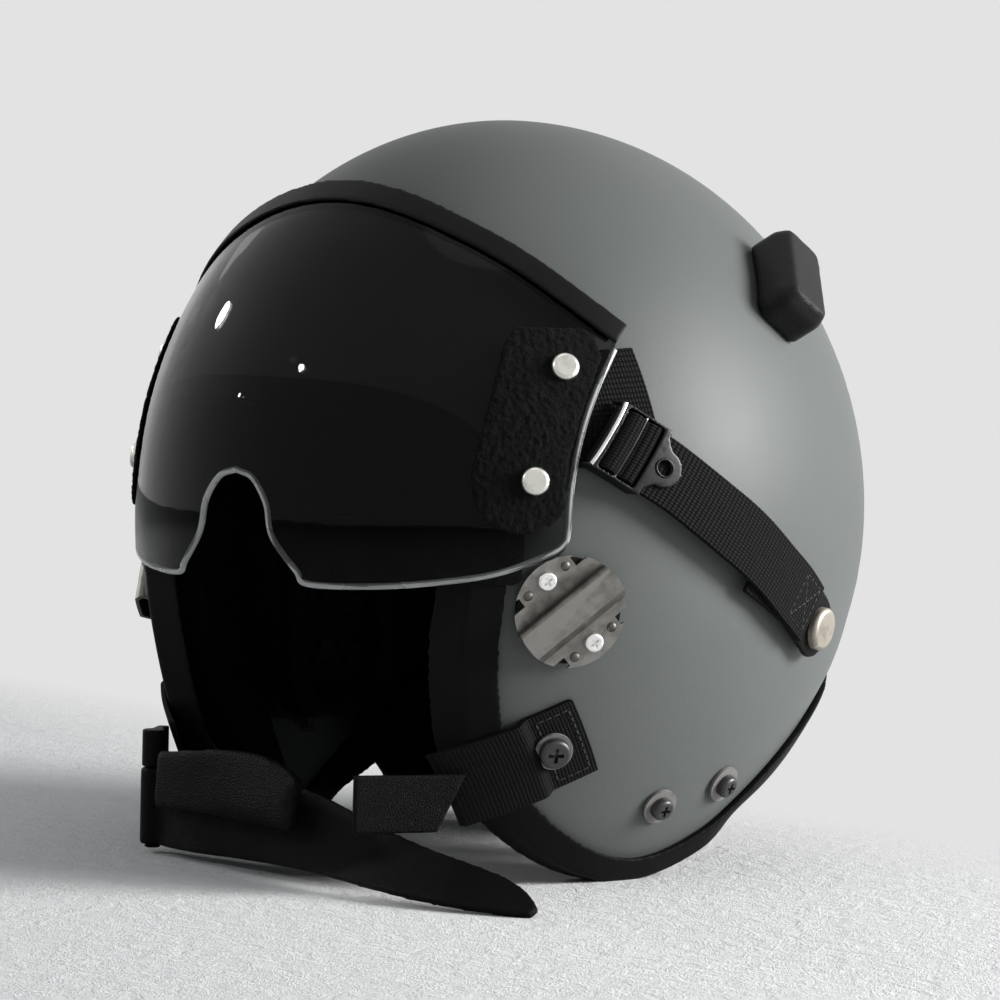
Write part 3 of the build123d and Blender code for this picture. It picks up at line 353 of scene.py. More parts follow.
# drawn-out brush lines and light scratches on metal
brushGroup, given, told = newGroup(
    "brushedLines",
    [("Vector", arrow, None), ("Stretch", arrow, (3000.0, 60.0, 60.0))],
    [("Height", number), ("Shade", number)],
)
stretched = addNode(brushGroup, "ShaderNodeVectorMath", {0: given["Vector"], 1: given["Stretch"]}, operation="MULTIPLY")
lines = addNode(brushGroup, "ShaderNodeTexNoise", {"Vector": stretched.outputs[0], "Scale": 1.0, "Detail": 4.0})
marks = addNode(brushGroup, "ShaderNodeTexNoise", {"Vector": given["Vector"], "Scale": 140.0, "Detail": 5.0, "Roughness": 0.65})
brushGroup.links.new(lines.outputs[0], told["Height"])
brushGroup.links.new(calculate(brushGroup, "MULTIPLY_ADD", lines.outputs[0], 0.5, marks.outputs[0]), told["Shade"])

# rubbed corners, from how sharply the surface bends
wearGroup, given, told = newGroup(
    "rubbedEdges", [("Vector", arrow, None), ("Level", number, 0.56), ("Scale", number, 120.0)], [("Mask", number)]
)
bend = addNode(wearGroup, "ShaderNodeNewGeometry").outputs["Pointiness"]
patches = addNode(wearGroup, "ShaderNodeTexNoise", {"Vector": given["Vector"], "Scale": given["Scale"], "Detail": 4.0})
lifted = calculate(wearGroup, "MULTIPLY_ADD", calculate(wearGroup, "SUBTRACT", patches.outputs[0], 0.5), 0.12, bend)
mask = calculate(wearGroup, "MULTIPLY", calculate(wearGroup, "SUBTRACT", lifted, given["Level"]), 14.0, clamp=True)
wearGroup.links.new(mask, told["Mask"])

# short fibres lying every way, for pile and felt
fibreGroup, given, told = newGroup(
    "looseFibres", [("Vector", arrow, None), ("Scale", number, 900.0)], [("Height", number), ("Shade", number)]
)
bent = addNode(
    fibreGroup, "ShaderNodeTexNoise", {"Vector": given["Vector"], "Scale": given["Scale"], "Detail": 4.0, "Distortion": 2.5}
)
coarse = calculate(fibreGroup, "MULTIPLY", given["Scale"], 0.28)
tufts = addNode(
    fibreGroup, "ShaderNodeTexNoise", {"Vector": given["Vector"], "Scale": coarse, "Detail": 3.0, "Distortion": 0.8}
)
fibreGroup.links.new(calculate(fibreGroup, "MULTIPLY_ADD", tufts.outputs[0], 1.4, bent.outputs[0]), told["Height"])
fibreGroup.links.new(tufts.outputs[0], told["Shade"])
print("node groups made")


def startMaterial(name, roughness, **sockets):
    # a material with its shader's constant sockets set; returns it, its tree, its shader and Object coordinates
    material = bpy.data.materials.new(name)
    material.use_nodes = True
    tree = material.node_tree
    shader = tree.nodes["Principled BSDF"]
    shader.inputs["Roughness"].default_value = roughness
    for socket, value in sockets.items():
        shader.inputs[socket.replace("_", " ")].default_value = value
    return material, tree, shader, addNode(tree, "ShaderNodeTexCoord")


def useGroup(tree, group, **values):
    return addNode(tree, "ShaderNodeGroup", {key.replace("_", " "): value for key, value in values.items()}, node_tree=group)


def blendColours(tree, share, *colours):
    # mixes two colours, each given as a socket or as red, green and blue
    ends = [colour if isinstance(colour, bpy.types.NodeSocket) else (*colour, 1) for colour in colours]
    return addNode(tree, "ShaderNodeMix", {0: share, 6: ends[0], 7: ends[1]}, data_type="RGBA").outputs[2]


def between(tree, share, low, high):
    # maps the middle half of a mask on a stretch of values
    ends = {"From Min": 0.25, "From Max": 0.75, "To Min": low, "To Max": high}
    return addNode(tree, "ShaderNodeMapRange", {"Value": share, **ends}).outputs[0]


def bump(tree, shader, height, distance):
    made = addNode(tree, "ShaderNodeBump", {"Height": height, "Distance": distance, "Strength": 1.0})
    tree.links.new(made.outputs[0], shader.inputs["Normal"])


paintLook = {
    "color": (0.078, 0.085, 0.083), "paler": (0.092, 0.099, 0.096), "rubbed": (0.16, 0.17, 0.17),
    "roughness": (0.46, 0.54), "gloss": 0.25, "clouds": 14.0, "specks": 900.0, "speckLevel": 0.76, "dust": 0.35,
    "peelScale": 950.0, "peel": 0.00003,
}


def makePaint():
    look = paintLook
    material, tree, shader, spots = startMaterial("shellPaint", look["roughness"][0], Specular_IOR_Level=look["gloss"])
    dust = useGroup(
        tree, dustGroup, Vector=spots.outputs["Object"],
        Cloud_Scale=look["clouds"], Speck_Scale=look["specks"], Speck_Level=look["speckLevel"],
    ).outputs
    colour = blendColours(tree, dust["Clouds"], look["color"], look["paler"])
    speckled = blendColours(tree, dust["Specks"], look["color"], look["rubbed"])
    share = calculate(tree, "MULTIPLY", dust["Specks"], look["dust"])
    tree.links.new(blendColours(tree, share, colour, speckled), shader.inputs["Base Color"])
    tree.links.new(between(tree, dust["Clouds"], *look["roughness"]), shader.inputs["Roughness"])
    peel = addNode(tree, "ShaderNodeTexNoise", {"Vector": spots.outputs["Object"], "Scale": look["peelScale"], "Detail": 2.0})
    bump(tree, shader, peel.outputs[0], look["peel"])
    return material


def makeGrained(name, look):
    # rubber, leather and moulded plastic
    material, tree, shader, spots = startMaterial(name, look["roughness"][0], Specular_IOR_Level=look["gloss"])
    grain = useGroup(tree, grainGroup, Vector=spots.outputs["Object"], Scale=look["scale"], Crease=look["crease"])
    dust = useGroup(
        tree, dustGroup, Vector=spots.outputs["Object"],
        Cloud_Scale=look["clouds"], Speck_Scale=look["specks"], Speck_Level=look["speckLevel"],
    ).outputs
    wear = useGroup(tree, wearGroup, Vector=spots.outputs["Object"], Level=look["wearLevel"], Scale=look["wearScale"])
    colour = blendColours(tree, grain.outputs["Shade"], look["color"], look["paler"])
    worn = calculate(tree, "MULTIPLY", wear.outputs["Mask"], look["wear"])
    dusty = calculate(tree, "MULTIPLY", dust["Specks"], look["dust"])
    colour = blendColours(tree, dusty, blendColours(tree, worn, colour, look["rubbed"]), look["rubbed"])
    tree.links.new(colour, shader.inputs["Base Color"])
    tree.links.new(between(tree, dust["Clouds"], *look["roughness"]), shader.inputs["Roughness"])
    bump(tree, shader, grain.outputs["Height"], look["depth"])
    return material


rollLook = {
    "color": (0.0035, 0.0035, 0.0038), "paler": (0.007, 0.007, 0.0075), "rubbed": (0.03, 0.03, 0.03),
    "roughness": (0.48, 0.62), "gloss": 0.05, "scale": 2400.0, "crease": 0.25, "depth": 0.00004,
    "wearLevel": 0.58, "wearScale": 260.0, "wear": 0.35,
    "clouds": 40.0, "specks": 1500.0, "speckLevel": 0.72, "dust": 0.25,
}
stripLook = dict(rollLook, gloss=0.08, roughness=(0.38, 0.5))
stopLook = dict(rollLook, roughness=(0.34, 0.5), scale=1500.0, crease=0.6, depth=0.00010, gloss=0.16)
leatherLook = dict(
    rollLook, color=(0.0026, 0.0026, 0.0026), paler=(0.0055, 0.0053, 0.005), rubbed=(0.05, 0.047, 0.044),
    roughness=(0.36, 0.56), scale=1300.0, crease=0.8, depth=0.00014, wearLevel=0.57, wear=0.5, dust=0.15,
)
padLeatherLook = dict(leatherLook, scale=950.0, depth=0.0002, roughness=(0.4, 0.6), wear=0.2)
plasticLook = dict(rollLook, scale=1800.0, crease=0.5, depth=0.00008, roughness=(0.4, 0.5), gloss=0.12)
foamLook = dict(
    rollLook, color=(0.005, 0.005, 0.005), paler=(0.010, 0.010, 0.010), scale=700.0, crease=1.2, depth=0.0003,
    roughness=(0.8, 0.95),
)

# paler is the painted highlight colour of the rib tops, color the painted shade of the grooves
webbingLook = {
    "color": (0.0010, 0.0010, 0.0011), "paler": (0.0115, 0.0115, 0.0118), "roughness": (0.6, 0.85), "gloss": 0.05,
    "rib": 1.7, "thread": 1.1, "fluff": 3500.0, "depth": 0.0005,
}


def makeWebbing(name, mapped=True, look=webbingLook):
    # black nylon webbing, ribbed across its run, with painted shade in the grooves and a painted highlight on the rib
    # tops; without a map of its own it takes side view in millimetres
    material, tree, shader, spots = startMaterial(name, look["roughness"][0], Specular_IOR_Level=look["gloss"])
    if mapped:
        places = spots.outputs["UV"]
    else:
        scaled = addNode(tree, "ShaderNodeMapping", {"Vector": spots.outputs["Object"], "Scale": (1000, 1000, 1000)})
        split = addNode(tree, "ShaderNodeSeparateXYZ", {"Vector": scaled.outputs[0]})
        places = addNode(tree, "ShaderNodeCombineXYZ", {"X": split.outputs[1], "Y": split.outputs[2]}).outputs[0]
    weave = useGroup(tree, weaveGroup, Vector=places, Rib_Pitch=look["rib"], Thread_Pitch=look["thread"])
    # colour from the weave's height: painted shade and painted highlight, with random tone
    tree.links.new(blendColours(tree, weave.outputs["Shade"], look["color"], look["paler"]), shader.inputs["Base Color"])
    fluff = addNode(tree, "ShaderNodeTexNoise", {"Vector": spots.outputs["Object"], "Scale": look["fluff"], "Detail": 3.0})
    tree.links.new(between(tree, fluff.outputs[0], *look["roughness"]), shader.inputs["Roughness"])
    height = calculate(tree, "MULTIPLY_ADD", fluff.outputs[0], 0.3, weave.outputs["Height"])
    bump(tree, shader, height, look["depth"])
    return material


pileLook = {
    "color": (0.0020, 0.0020, 0.0020), "paler": (0.010, 0.010, 0.010), "roughness": 0.95, "gloss": 0.04, "sheen": 0.02,
    "scale": 900.0, "depth": 0.0007,
}


def makePile(name, look):
    # hook and loop patches
    material, tree, shader, spots = startMaterial(
        name, look["roughness"], Specular_IOR_Level=look["gloss"], Sheen_Weight=look["sheen"], Sheen_Roughness=0.6
    )
    fibres = useGroup(tree, fibreGroup, Vector=spots.outputs["Object"], Scale=look["scale"])
    tree.links.new(blendColours(tree, fibres.outputs["Shade"], look["color"], look["paler"]), shader.inputs["Base Color"])
    bump(tree, shader, fibres.outputs["Height"], look["depth"])
    return material


def makeMetal(name, look):
    # brushed, plated or painted metal, rubbed bright along its edges
    material, tree, shader, spots = startMaterial(
        name, look["roughness"][0], Metallic=look["metallic"], Specular_IOR_Level=look["gloss"]
    )
    turned = addNode(tree, "ShaderNodeMapping", {"Vector": spots.outputs["Object"], "Rotation": look["turn"]})
    brushed = useGroup(tree, brushGroup, Vector=turned.outputs[0], Stretch=look["stretch"])
    wear = useGroup(tree, wearGroup, Vector=spots.outputs["Object"], Level=look["wearLevel"], Scale=look["wearScale"])
    colour = blendColours(tree, between(tree, brushed.outputs["Shade"], 0.0, 1.0), look["color"], look["paler"])
    worn = calculate(tree, "MULTIPLY", wear.outputs["Mask"], look["wear"])
    tree.links.new(blendColours(tree, worn, colour, look["rubbed"]), shader.inputs["Base Color"])
    tree.links.new(between(tree, brushed.outputs["Shade"], *look["roughness"]), shader.inputs["Roughness"])
    bump(tree, shader, brushed.outputs["Height"], look["depth"])
    return material


steelLook = {
    "color": (0.050, 0.047, 0.043), "paler": (0.110, 0.105, 0.095), "rubbed": (0.34, 0.33, 0.31), "metallic": 1.0,
    "gloss": 0.5, "roughness": (0.32, 0.48), "stretch": (400.0, 2600.0, 400.0), "turn": (0.7, 0, 0),
    "wearLevel": 0.56, "wearScale": 300.0, "wear": 0.5, "depth": 0.00002,
}
platedLook = dict(steelLook, rubbed=(0.60, 0.59, 0.56), stretch=(300.0, 300.0, 300.0))
nickelLook = dict(
    platedLook, color=(0.52, 0.50, 0.45), paler=(0.70, 0.69, 0.64), roughness=(0.16, 0.3), depth=0.00003
)
zincLook = dict(
    platedLook, color=(0.62, 0.62, 0.60), paler=(0.82, 0.82, 0.80), roughness=(0.2, 0.36),
    stretch=(500.0, 500.0, 500.0), depth=0.00003,
)
snapLook = dict(
    platedLook, color=(0.21, 0.185, 0.15), paler=(0.36, 0.33, 0.28), roughness=(0.32, 0.5),
    stretch=(600.0, 600.0, 600.0), wearLevel=0.54,
)
# pale metal for the black buckle's front wire: a painted highlight line
wireHighlightLook = dict(platedLook, color=(0.55, 0.54, 0.52), paler=(0.75, 0.74, 0.72), roughness=(0.14, 0.26))
buckleMetalLook = dict(
    steelLook, color=(0.012, 0.012, 0.013), paler=(0.028, 0.028, 0.029), rubbed=(0.4, 0.39, 0.37),
    roughness=(0.2, 0.36), stretch=(700.0, 700.0, 700.0),
)
blackMetalLook = dict(
    steelLook, color=(0.009, 0.009, 0.009), paler=(0.016, 0.016, 0.016), rubbed=(0.22, 0.21, 0.20), metallic=0.0,
    gloss=0.6, roughness=(0.24, 0.42), stretch=(700.0, 700.0, 700.0), turn=(0, 0, 0), wearLevel=0.55, wear=0.7,
    depth=0.00003,
)

lensLook = {
    "color": (0.2, 0.204, 0.2), "smeared": (0.192, 0.19584, 0.192), "roughness": (0.0, 0.03), "ior": 1.17, "smears": 26.0,
    "film": (0.25, 0.25, 0.25),
}


def makeLens():
    # lightly smoked clear plastic that lets lamp light through to what is behind it
    look = lensLook
    material, tree, shader, spots = startMaterial("smokedLens", look["roughness"][0], IOR=look["ior"], Transmission_Weight=1.0)
    smears = addNode(
        tree, "ShaderNodeTexNoise",
        {"Vector": spots.outputs["Object"], "Scale": look["smears"], "Detail": 5.0, "Distortion": 0.6},
    ).outputs[0]
    tree.links.new(blendColours(tree, smears, look["color"], look["smeared"]), shader.inputs["Base Color"])
    tree.links.new(between(tree, smears, *look["roughness"]), shader.inputs["Roughness"])
    passing = addNode(tree, "ShaderNodeBsdfTransparent", {"Color": (*look["film"], 1)}).outputs[0]
    shadow = addNode(tree, "ShaderNodeLightPath").outputs["Is Shadow Ray"]
    choice = addNode(tree, "ShaderNodeMixShader", {0: shadow, 1: shader.outputs[0], 2: passing})
    tree.links.new(choice.outputs[0], tree.nodes["Material Output"].inputs["Surface"])
    return material


# pale colours of the lens's clear edge: a painted highlight
edgeHighlightLook = {
    "color": (0.55, 0.57, 0.57), "paler": (0.80, 0.82, 0.82), "roughness": (0.12, 0.38), "clear": 0.55, "bands": 70.0,
}


def makeEdgeHighlight():
    # the lens's sawn and polished edge, coloured pale as a painted highlight
    look = edgeHighlightLook
    material, tree, shader, spots = startMaterial("clearEdge", look["roughness"][0], IOR=1.49, Transmission_Weight=look["clear"])
    bands = addNode(tree, "ShaderNodeTexNoise", {"Vector": spots.outputs["Object"], "Scale": look["bands"], "Detail": 4.0})
    share = between(tree, bands.outputs[0], 0.0, 1.0)
    # pale banded base colour on clear plastic: painted highlight
    tree.links.new(blendColours(tree, share, look["color"], look["paler"]), shader.inputs["Base Color"])
    tree.links.new(between(tree, bands.outputs[0], *look["roughness"]), shader.inputs["Roughness"])
    return material


paint = makePaint()
rollRubber = makeGrained("rollRubber", rollLook)
stripRubber = makeGrained("stripRubber", stripLook)
stopRubber = makeGrained("stopRubber", stopLook)
leather = makeGrained("blackLeather", leatherLook)
padLeather = makeGrained("padLeather", padLeatherLook)
plastic = makeGrained("mouldedPlastic", plasticLook)
foam = makeGrained("blackFoam", foamLook)
webbing = makeWebbing("webbing")
napeWebbing = makeWebbing("napeWebbing", mapped=False)
pile = makePile("loopPile", pileLook)
hooks = makePile("hookPile", dict(pileLook, scale=1500.0, depth=0.0004))
steel = makeMetal("brushedSteel", steelLook)
nickel = makeMetal("nickel", nickelLook)
zinc = makeMetal("zincPlate", zincLook)
snapMetal = makeMetal("agedSnapMetal", snapLook)
blackMetal = makeMetal("blackMetal", blackMetalLook)
buckleMetal = makeMetal("buckleMetal", buckleMetalLook)
brightWire = makeMetal("brightWire", wireHighlightLook)
lens = makeLens()
lensEdgeHighlight = makeEdgeHighlight()
print("finishes made")

# finishes of the frame's own pieces
nodeFinish = {
    "outer_shell": paint, "edge_roll": rollRubber, "visor_lens": lens, "visor_edge_strip": stripRubber,
    "pile_patch": pile, "hook_patch": hooks, "yoke": webbing, "rear_strap": webbing, "strap_tail": webbing,
    "strap_tab": webbing, "nape_strap": napeWebbing, "visor_rivets": nickel, "slider_buckle": blackMetal,
    "snap_stud": snapMetal, "snap_cap": snapMetal, "snap_socket": snapMetal, "snap_tab": leather, "tab_end_left": leather,
    "chin_anchor": leather, "chin_strap": leather, "chin_pad": padLeather, "receiver_pad": rollRubber,
    "receiver_screws": zinc, "receiver_left": steel, "receiver_right": steel, "cheek_screws": blackMetal,
    "cheek_washers": blackMetal, "nape_screws": blackMetal, "nape_washers": blackMetal, "inner_nuts": zinc,
    "visor_stop": stopRubber, "energy_liner": foam, "crown_pad": padLeather, "brow_pad": padLeather, "rear_pad": padLeather,
    "nape_pad": padLeather, "nape_collar": padLeather, "ear_cup": plastic, "ear_grille": plastic, "earphones": plastic,
    "ear_seal": padLeather,
}
for node, piece in nodes.items():
    finish = max((start for start in nodeFinish if node.startswith(start)), key=len)
    piece.data.materials.clear()
    piece.data.materials.append(nodeFinish[finish])
print("frame pieces finished")

# rubber roll round the shell's edge, and the strip along the lens
rollSizes = {"voxel": 0.0007, "smoothing": 16}
edgeRoll = meltedCopy("edge_roll", "edgeRoll", **rollSizes)
settle(edgeRoll, "helmet", rollRubber, ["edge_roll"])
stripSizes = {"voxel": 0.0006, "smoothing": 8}
lensStrip = meltedCopy("visor_edge_strip", "lensStrip", **stripSizes)
settle(lensStrip, "visor", stripRubber, ["visor_edge_strip"])
print("rubber edges made")

# fuzzy patches
fuzz = {"voxel": 0.0006, "smoothing": 3, "pileHeight": 0.00096, "hookHeight": 0.0006, "size": 0.0016, "middle": 0.45}
fuzzClouds = bpy.data.textures.new("fuzzClouds", "CLOUDS")
fuzzClouds.noise_scale = fuzz["size"]


def fuzzyPatch(node, name, body, material, strength):
    # a hook or loop patch with an uneven, tufted face
    piece = meltedCopy(node, name, fuzz["voxel"], fuzz["smoothing"])
    modify(piece, "DISPLACE", texture=fuzzClouds, strength=strength, mid_level=fuzz["middle"])
    settle(piece, body, material, [node])


for side in ("left", "right"):
    fuzzyPatch("pile_patch_" + side, side + "PilePatch", "visor", pile, fuzz["pileHeight"])
    fuzzyPatch("hook_patch_" + side, side + "HookPatch", "helmet", hooks, fuzz["hookHeight"])
print("patches made")

# side straps: webbing, its folded tail, and the loop through the buckle
strapSizes = {
    "stud": (0.210, -0.288), "front": (-0.542, 0.273), "width": 0.022, "wall": 0.0015, "gap": 0.0054, "start": 0.008,
    "waver": 0.0005, "bow": 0.0007,
    "tailStart": 0.0223, "tailLength": 0.0240, "tailGap": 0.00375, "tailTurn": 6.0,
    "buckleMiddle": 0.1105, "buckleReach": 0.009, "bar": 0.0026, "loopLift": 0.0004, "loopShare": 0.97, "hump": 0.0021,
}
studPlace = sharePlace(*strapSizes["stud"])
frontPlace = sharePlace(*strapSizes["front"])
strapRun = (frontPlace[0] - studPlace[0], frontPlace[1] - studPlace[1])
strapLength = hypot(*strapRun)
onStrap = sidePlace(studPlace, strapRun)


def strapSpot(along, aside, height):
    # place over the paint, from distances along and across the strap
    spot = onStrap @ Vector((along, aside, height))
    return Vector((domeX(spot.y, spot.z, spot.x), spot.y, spot.z))


def bothSides(piece, stem, bodyStem, material, nodeStems=()):
    # settles a left-hand piece and its mirrored twin
    twin = mirrorPiece(piece, "right" + stem)
    for made, side in ((piece, "left"), (twin, "right")):
        body = bodyStem if bodyStem in ("helmet", "visor") else bodyStem + side
        settle(made, body, material, [start + side for start in nodeStems])


def strapBlank():
    start, low = strapSizes["start"], strapSizes["gap"]
    piece = slab("leftRearStrap", strapLength - start, strapSizes["width"], low, low + strapSizes["wall"], (130, 16))

    def relax(spot):
        # woven edges are never quite straight, and the strap bows a little off the shell
        wave = noise.noise(Vector((spot.x * 60, 0.0 if spot.y > 0 else 4.0, 1.5)))
        bow = strapSizes["bow"] * sin(pi * spot.x / strapLength)
        return Vector((spot.x, spot.y + strapSizes["waver"] * wave, spot.z + bow))

    shape(piece, relax)
    move(piece, onStrap @ Matrix.Translation((start, 0, 0)))
    layOnDome(piece)
    return piece


def tailBlank():
    # the fold that ends under the strap, one corner showing past its edge
    length, low = strapSizes["tailLength"], strapSizes["tailGap"]
    piece = slab("leftStrapTail", length, strapSizes["width"], low, low + strapSizes["wall"], (30, 14))
    turn = Matrix.Rotation(radians(strapSizes["tailTurn"]), 4, "Z")
    move(piece, onStrap @ Matrix.Translation((strapSizes["tailStart"], 0, 0)) @ turn)
    layOnDome(piece)
    return piece


def loopBlank():
    # the webbing's two humps between the buckle's bars
    reach = strapSizes["buckleReach"] - strapSizes["bar"] / 2
    low = strapSizes["gap"] + strapSizes["loopLift"]
    width = strapSizes["width"] * strapSizes["loopShare"]
    piece = slab("leftBuckleLoop", 2 * reach, width, low, low + strapSizes["wall"], (72, 12))

    def hump(spot):
        free = easeIn(reach - abs(spot.x - reach), 0.0012, 0.0036)
        return Vector((spot.x, spot.y, spot.z + strapSizes["hump"] * free * abs(sin(pi * spot.x / reach)) ** 0.6))

    shape(piece, hump)
    move(piece, onStrap @ Matrix.Translation((strapSizes["buckleMiddle"] - reach, 0, 0)))
    layOnDome(piece)
    return piece


bothSides(strapBlank(), "RearStrap", "strap_", webbing, ["rear_strap_"])
bothSides(tailBlank(), "StrapTail", "strap_", webbing, ["strap_tail_"])
bothSides(loopBlank(), "BuckleLoop", "buckle_", webbing)
print("straps made")

# stitches: short thread capsules in rows
stitchSizes = {
    "pitch": 0.0026, "length": 0.0020, "radius": 0.00024, "lift": 0.00008, "strapRun": (0.0105, 0.0215), "strapEdge": 0.0028,
    "tabRun": (-0.0065, 0.0028), "tabEdge": 0.0025,
}


def stitchRow(name, ends, closed=False):
    # capsules along straight runs between points of a blank, all in one mesh
    bpy.ops.object.select_all(action="DESELECT")
    bpy.ops.mesh.primitive_ico_sphere_add(subdivisions=2, radius=1)
    bead = bpy.context.object
    beadSpots = [vertex.co.copy() for vertex in bead.data.vertices]
    beadFaces = [tuple(face.vertices) for face in bead.data.polygons]
    bpy.data.objects.remove(bead)
    spots, faces = [], []
    runs = list(zip(ends, ends[1:] + ends[:1])) if closed else list(zip(ends, ends[1:]))
    for start, end in runs:
        start, end = Vector(start), Vector(end)
        run = end - start
        count = max(1, round(run.length / stitchSizes["pitch"]))
        along = run.normalized()
        aside = Vector((-along.y, along.x, 0)).normalized()
        for step in range(count):
            middle = start + run * ((step + 0.5) / count)
            base = len(spots)
            for spot in beadSpots:
                placed = along * spot.x * stitchSizes["length"] / 2 + aside * spot.y * stitchSizes["radius"]
                spots.append(middle + placed + Vector((0, 0, spot.z * stitchSizes["radius"])))
            faces.extend(tuple(base + corner for corner in face) for face in beadFaces)
    mesh = bpy.data.meshes.new(name)
    mesh.from_pydata(spots, [], faces)
    piece = bpy.data.objects.new(name, mesh)
    scene.collection.objects.link(piece)
    smoothShade(piece, 80)
    return piece


def strapStitches():
    # a sewn box with a cross, in front of the snap
    half = strapSizes["width"] / 2 - stitchSizes["strapEdge"]
    top = strapSizes["gap"] + strapSizes["wall"] + stitchSizes["lift"]
    low, high = stitchSizes["strapRun"]
    box = [(low, -half, top), (high, -half, top), (high, half, top), (low, half, top)]
    piece = stitchRow("leftStrapStitches", box + [box[0], box[2], box[3], box[1]])
    move(piece, onStrap)
    layOnDome(piece)
    return piece


threadLook = {
    "color": (0.012, 0.012, 0.012), "paler": (0.04, 0.04, 0.04), "roughness": 0.6, "gloss": 0.35,
    "twist": 4000.0, "depth": 0.0001,
}


def makeThread():
    look = threadLook
    material, tree, shader, spots = startMaterial("blackThread", look["roughness"], Specular_IOR_Level=look["gloss"])
    twist = addNode(tree, "ShaderNodeTexNoise", {"Vector": spots.outputs["Object"], "Scale": look["twist"], "Detail": 2.0})
    tree.links.new(blendColours(tree, twist.outputs[0], look["color"], look["paler"]), shader.inputs["Base Color"])
    bump(tree, shader, twist.outputs[0], look["depth"])
    return material


thread = makeThread()
bothSides(strapStitches(), "StrapStitches", "strap_", thread)
print("stitches made")

# cheek tabs: webbing from the screw, over the roll, towards the chin
tabSizes = {
    "screw": (-0.550, -0.609), "dip": 31.0, "back": 0.009, "reach": 0.029, "width": 0.02856, "stitchedWidth": 0.028,
    "wall": 0.0018, "gap": 0.00015, "rise": 0.0033, "riseRun": (0.0035, 0.0095),
}
tabRun = (-cos(radians(tabSizes["dip"])), -sin(radians(tabSizes["dip"])))
onTab = sidePlace(sharePlace(*tabSizes["screw"]), tabRun)


def tabBlank():
    back, low = tabSizes["back"], tabSizes["gap"]
    piece = slab("leftStrapTab", back + tabSizes["reach"], tabSizes["width"], low, low + tabSizes["wall"], (60, 24))
    move(piece, Matrix.Translation((-back, 0, 0)))
    shape(piece, lambda spot: spot + Vector((0, 0, tabSizes["rise"] * easeIn(spot.x, *tabSizes["riseRun"]))))
    move(piece, onTab)
    layOnDome(piece)
    return piece


tabWebbing = makeWebbing("tabWebbing", look=dict(webbingLook, rib=0.95, thread=0.7, depth=0.0003))
bothSides(tabBlank(), "StrapTab", "helmet", tabWebbing, ["strap_tab_"])


def tabStitches():
    top = tabSizes["gap"] + tabSizes["wall"] + stitchSizes["lift"]
    half = tabSizes["stitchedWidth"] / 2 - stitchSizes["tabEdge"]
    low, high = stitchSizes["tabRun"]
    ends = [(low, -half, top), (high, -half, top), (high, half, top), (low, half, top)]
    piece = stitchRow("leftTabStitches", ends, closed=True)
    move(piece, onTab)
    layOnDome(piece)
    return piece


bothSides(tabStitches(), "TabStitches", "helmet", thread)
print("cheek tabs made")

# webbing yokes: two legs a side, from the rivets to under the buckle
yokeSizes = {
    "legs": {"A": ((0.104, -0.003), (0.1365, 0.0125), 0.017), "B": ((0.1045, 0.0015), (0.1275, -0.0265), 0.022)},
    "wall": 0.0012, "lensLow": 0.0026, "outerLow": 0.0016, "edgeRun": (-0.001, 0.0045),
}
rearEdgeShares = [
    (-0.642, -0.065), (-0.626, 0.007), (-0.618, 0.116), (-0.588, 0.252), (-0.535, 0.38), (-0.462, 0.499), (-0.444, 0.543),
]
rearEdge = [sharePlace(*share) for share in rearEdgeShares]


def lensEdgeRun(y, z):
    # how far a side-view place lies inside the lens's rear edge
    for low, high in zip(rearEdge, rearEdge[1:]):
        if z <= high[1] or high is rearEdge[-1]:
            share = (z - low[1]) / (high[1] - low[1])
            return low[0] + (high[0] - low[0]) * share - y


def yokeLeg(name, start, end, width):
    run = Vector(end) - Vector(start)
    piece = slab(name, run.length, width, 0, yokeSizes["wall"], (60, 20))
    turn = Matrix.Rotation(run.angle_signed(Vector((1, 0))), 4, "Z")
    move(piece, onStrap @ Matrix.Translation((*start, 0)) @ turn)

    def lay(spot):
        # lies low on the shell behind the lens's edge and rises to the lens inside it
        inside = easeIn(lensEdgeRun(spot.y, spot.z), *yokeSizes["edgeRun"])
        low = yokeSizes["outerLow"] + (yokeSizes["lensLow"] - yokeSizes["outerLow"]) * inside
        return Vector((domeX(spot.y, spot.z, spot.x + low), spot.y, spot.z))

    shape(piece, lay)
    return piece


for letter, leg in yokeSizes["legs"].items():
    piece = yokeLeg("leftYokeLeg" + letter, *leg)
    bothSides(piece, "YokeLeg" + letter, "visor", webbing, ["yoke_"] if letter == "A" else ())
snapTabSizes = {"voxel": 0.0005, "smoothing": 6}
for side in ("left", "right"):
    snapTab = meltedCopy("snap_tab_" + side, side + "SnapTab", **snapTabSizes)
    settle(snapTab, "strap_" + side, leather, ["snap_tab_" + side])
print("yokes and snap tabs made")

# stamped slider buckles with rounded edges, a front wire in pale metal as a painted highlight on the black buckle, and
# a rim round each hole
buckleSizes = {
    "voxel": 0.0004, "smoothing": 5,
    "wire": 0.00075, "wireReach": 0.0119, "wireBack": 0.0008, "wireRise": 0.0084, "wireBow": 0.0004,
    "bar": 0.0007, "barReach": 0.0115, "barRise": 0.0077, "hole": 0.0029, "holeBack": 0.0026, "rim": 0.0004, "rimRise": 0.0088,
}
acrossShares = [k / 12 - 1 for k in range(25)]
for side in ("left", "right"):
    buckle = meltedCopy("slider_buckle_" + side, side + "SliderBuckle", buckleSizes["voxel"], buckleSizes["smoothing"])
    settle(buckle, "buckle_" + side, buckleMetal, ["slider_buckle_" + side])
buckleFront = strapSizes["buckleMiddle"] + strapSizes["buckleReach"]
buckleRear = strapSizes["buckleMiddle"] - strapSizes["buckleReach"]
frontWire = [
    strapSpot(
        buckleFront - buckleSizes["wireBack"], aside * buckleSizes["wireReach"],
        buckleSizes["wireRise"] + buckleSizes["wireBow"] * (1 - aside ** 4),
    )
    for aside in acrossShares
]
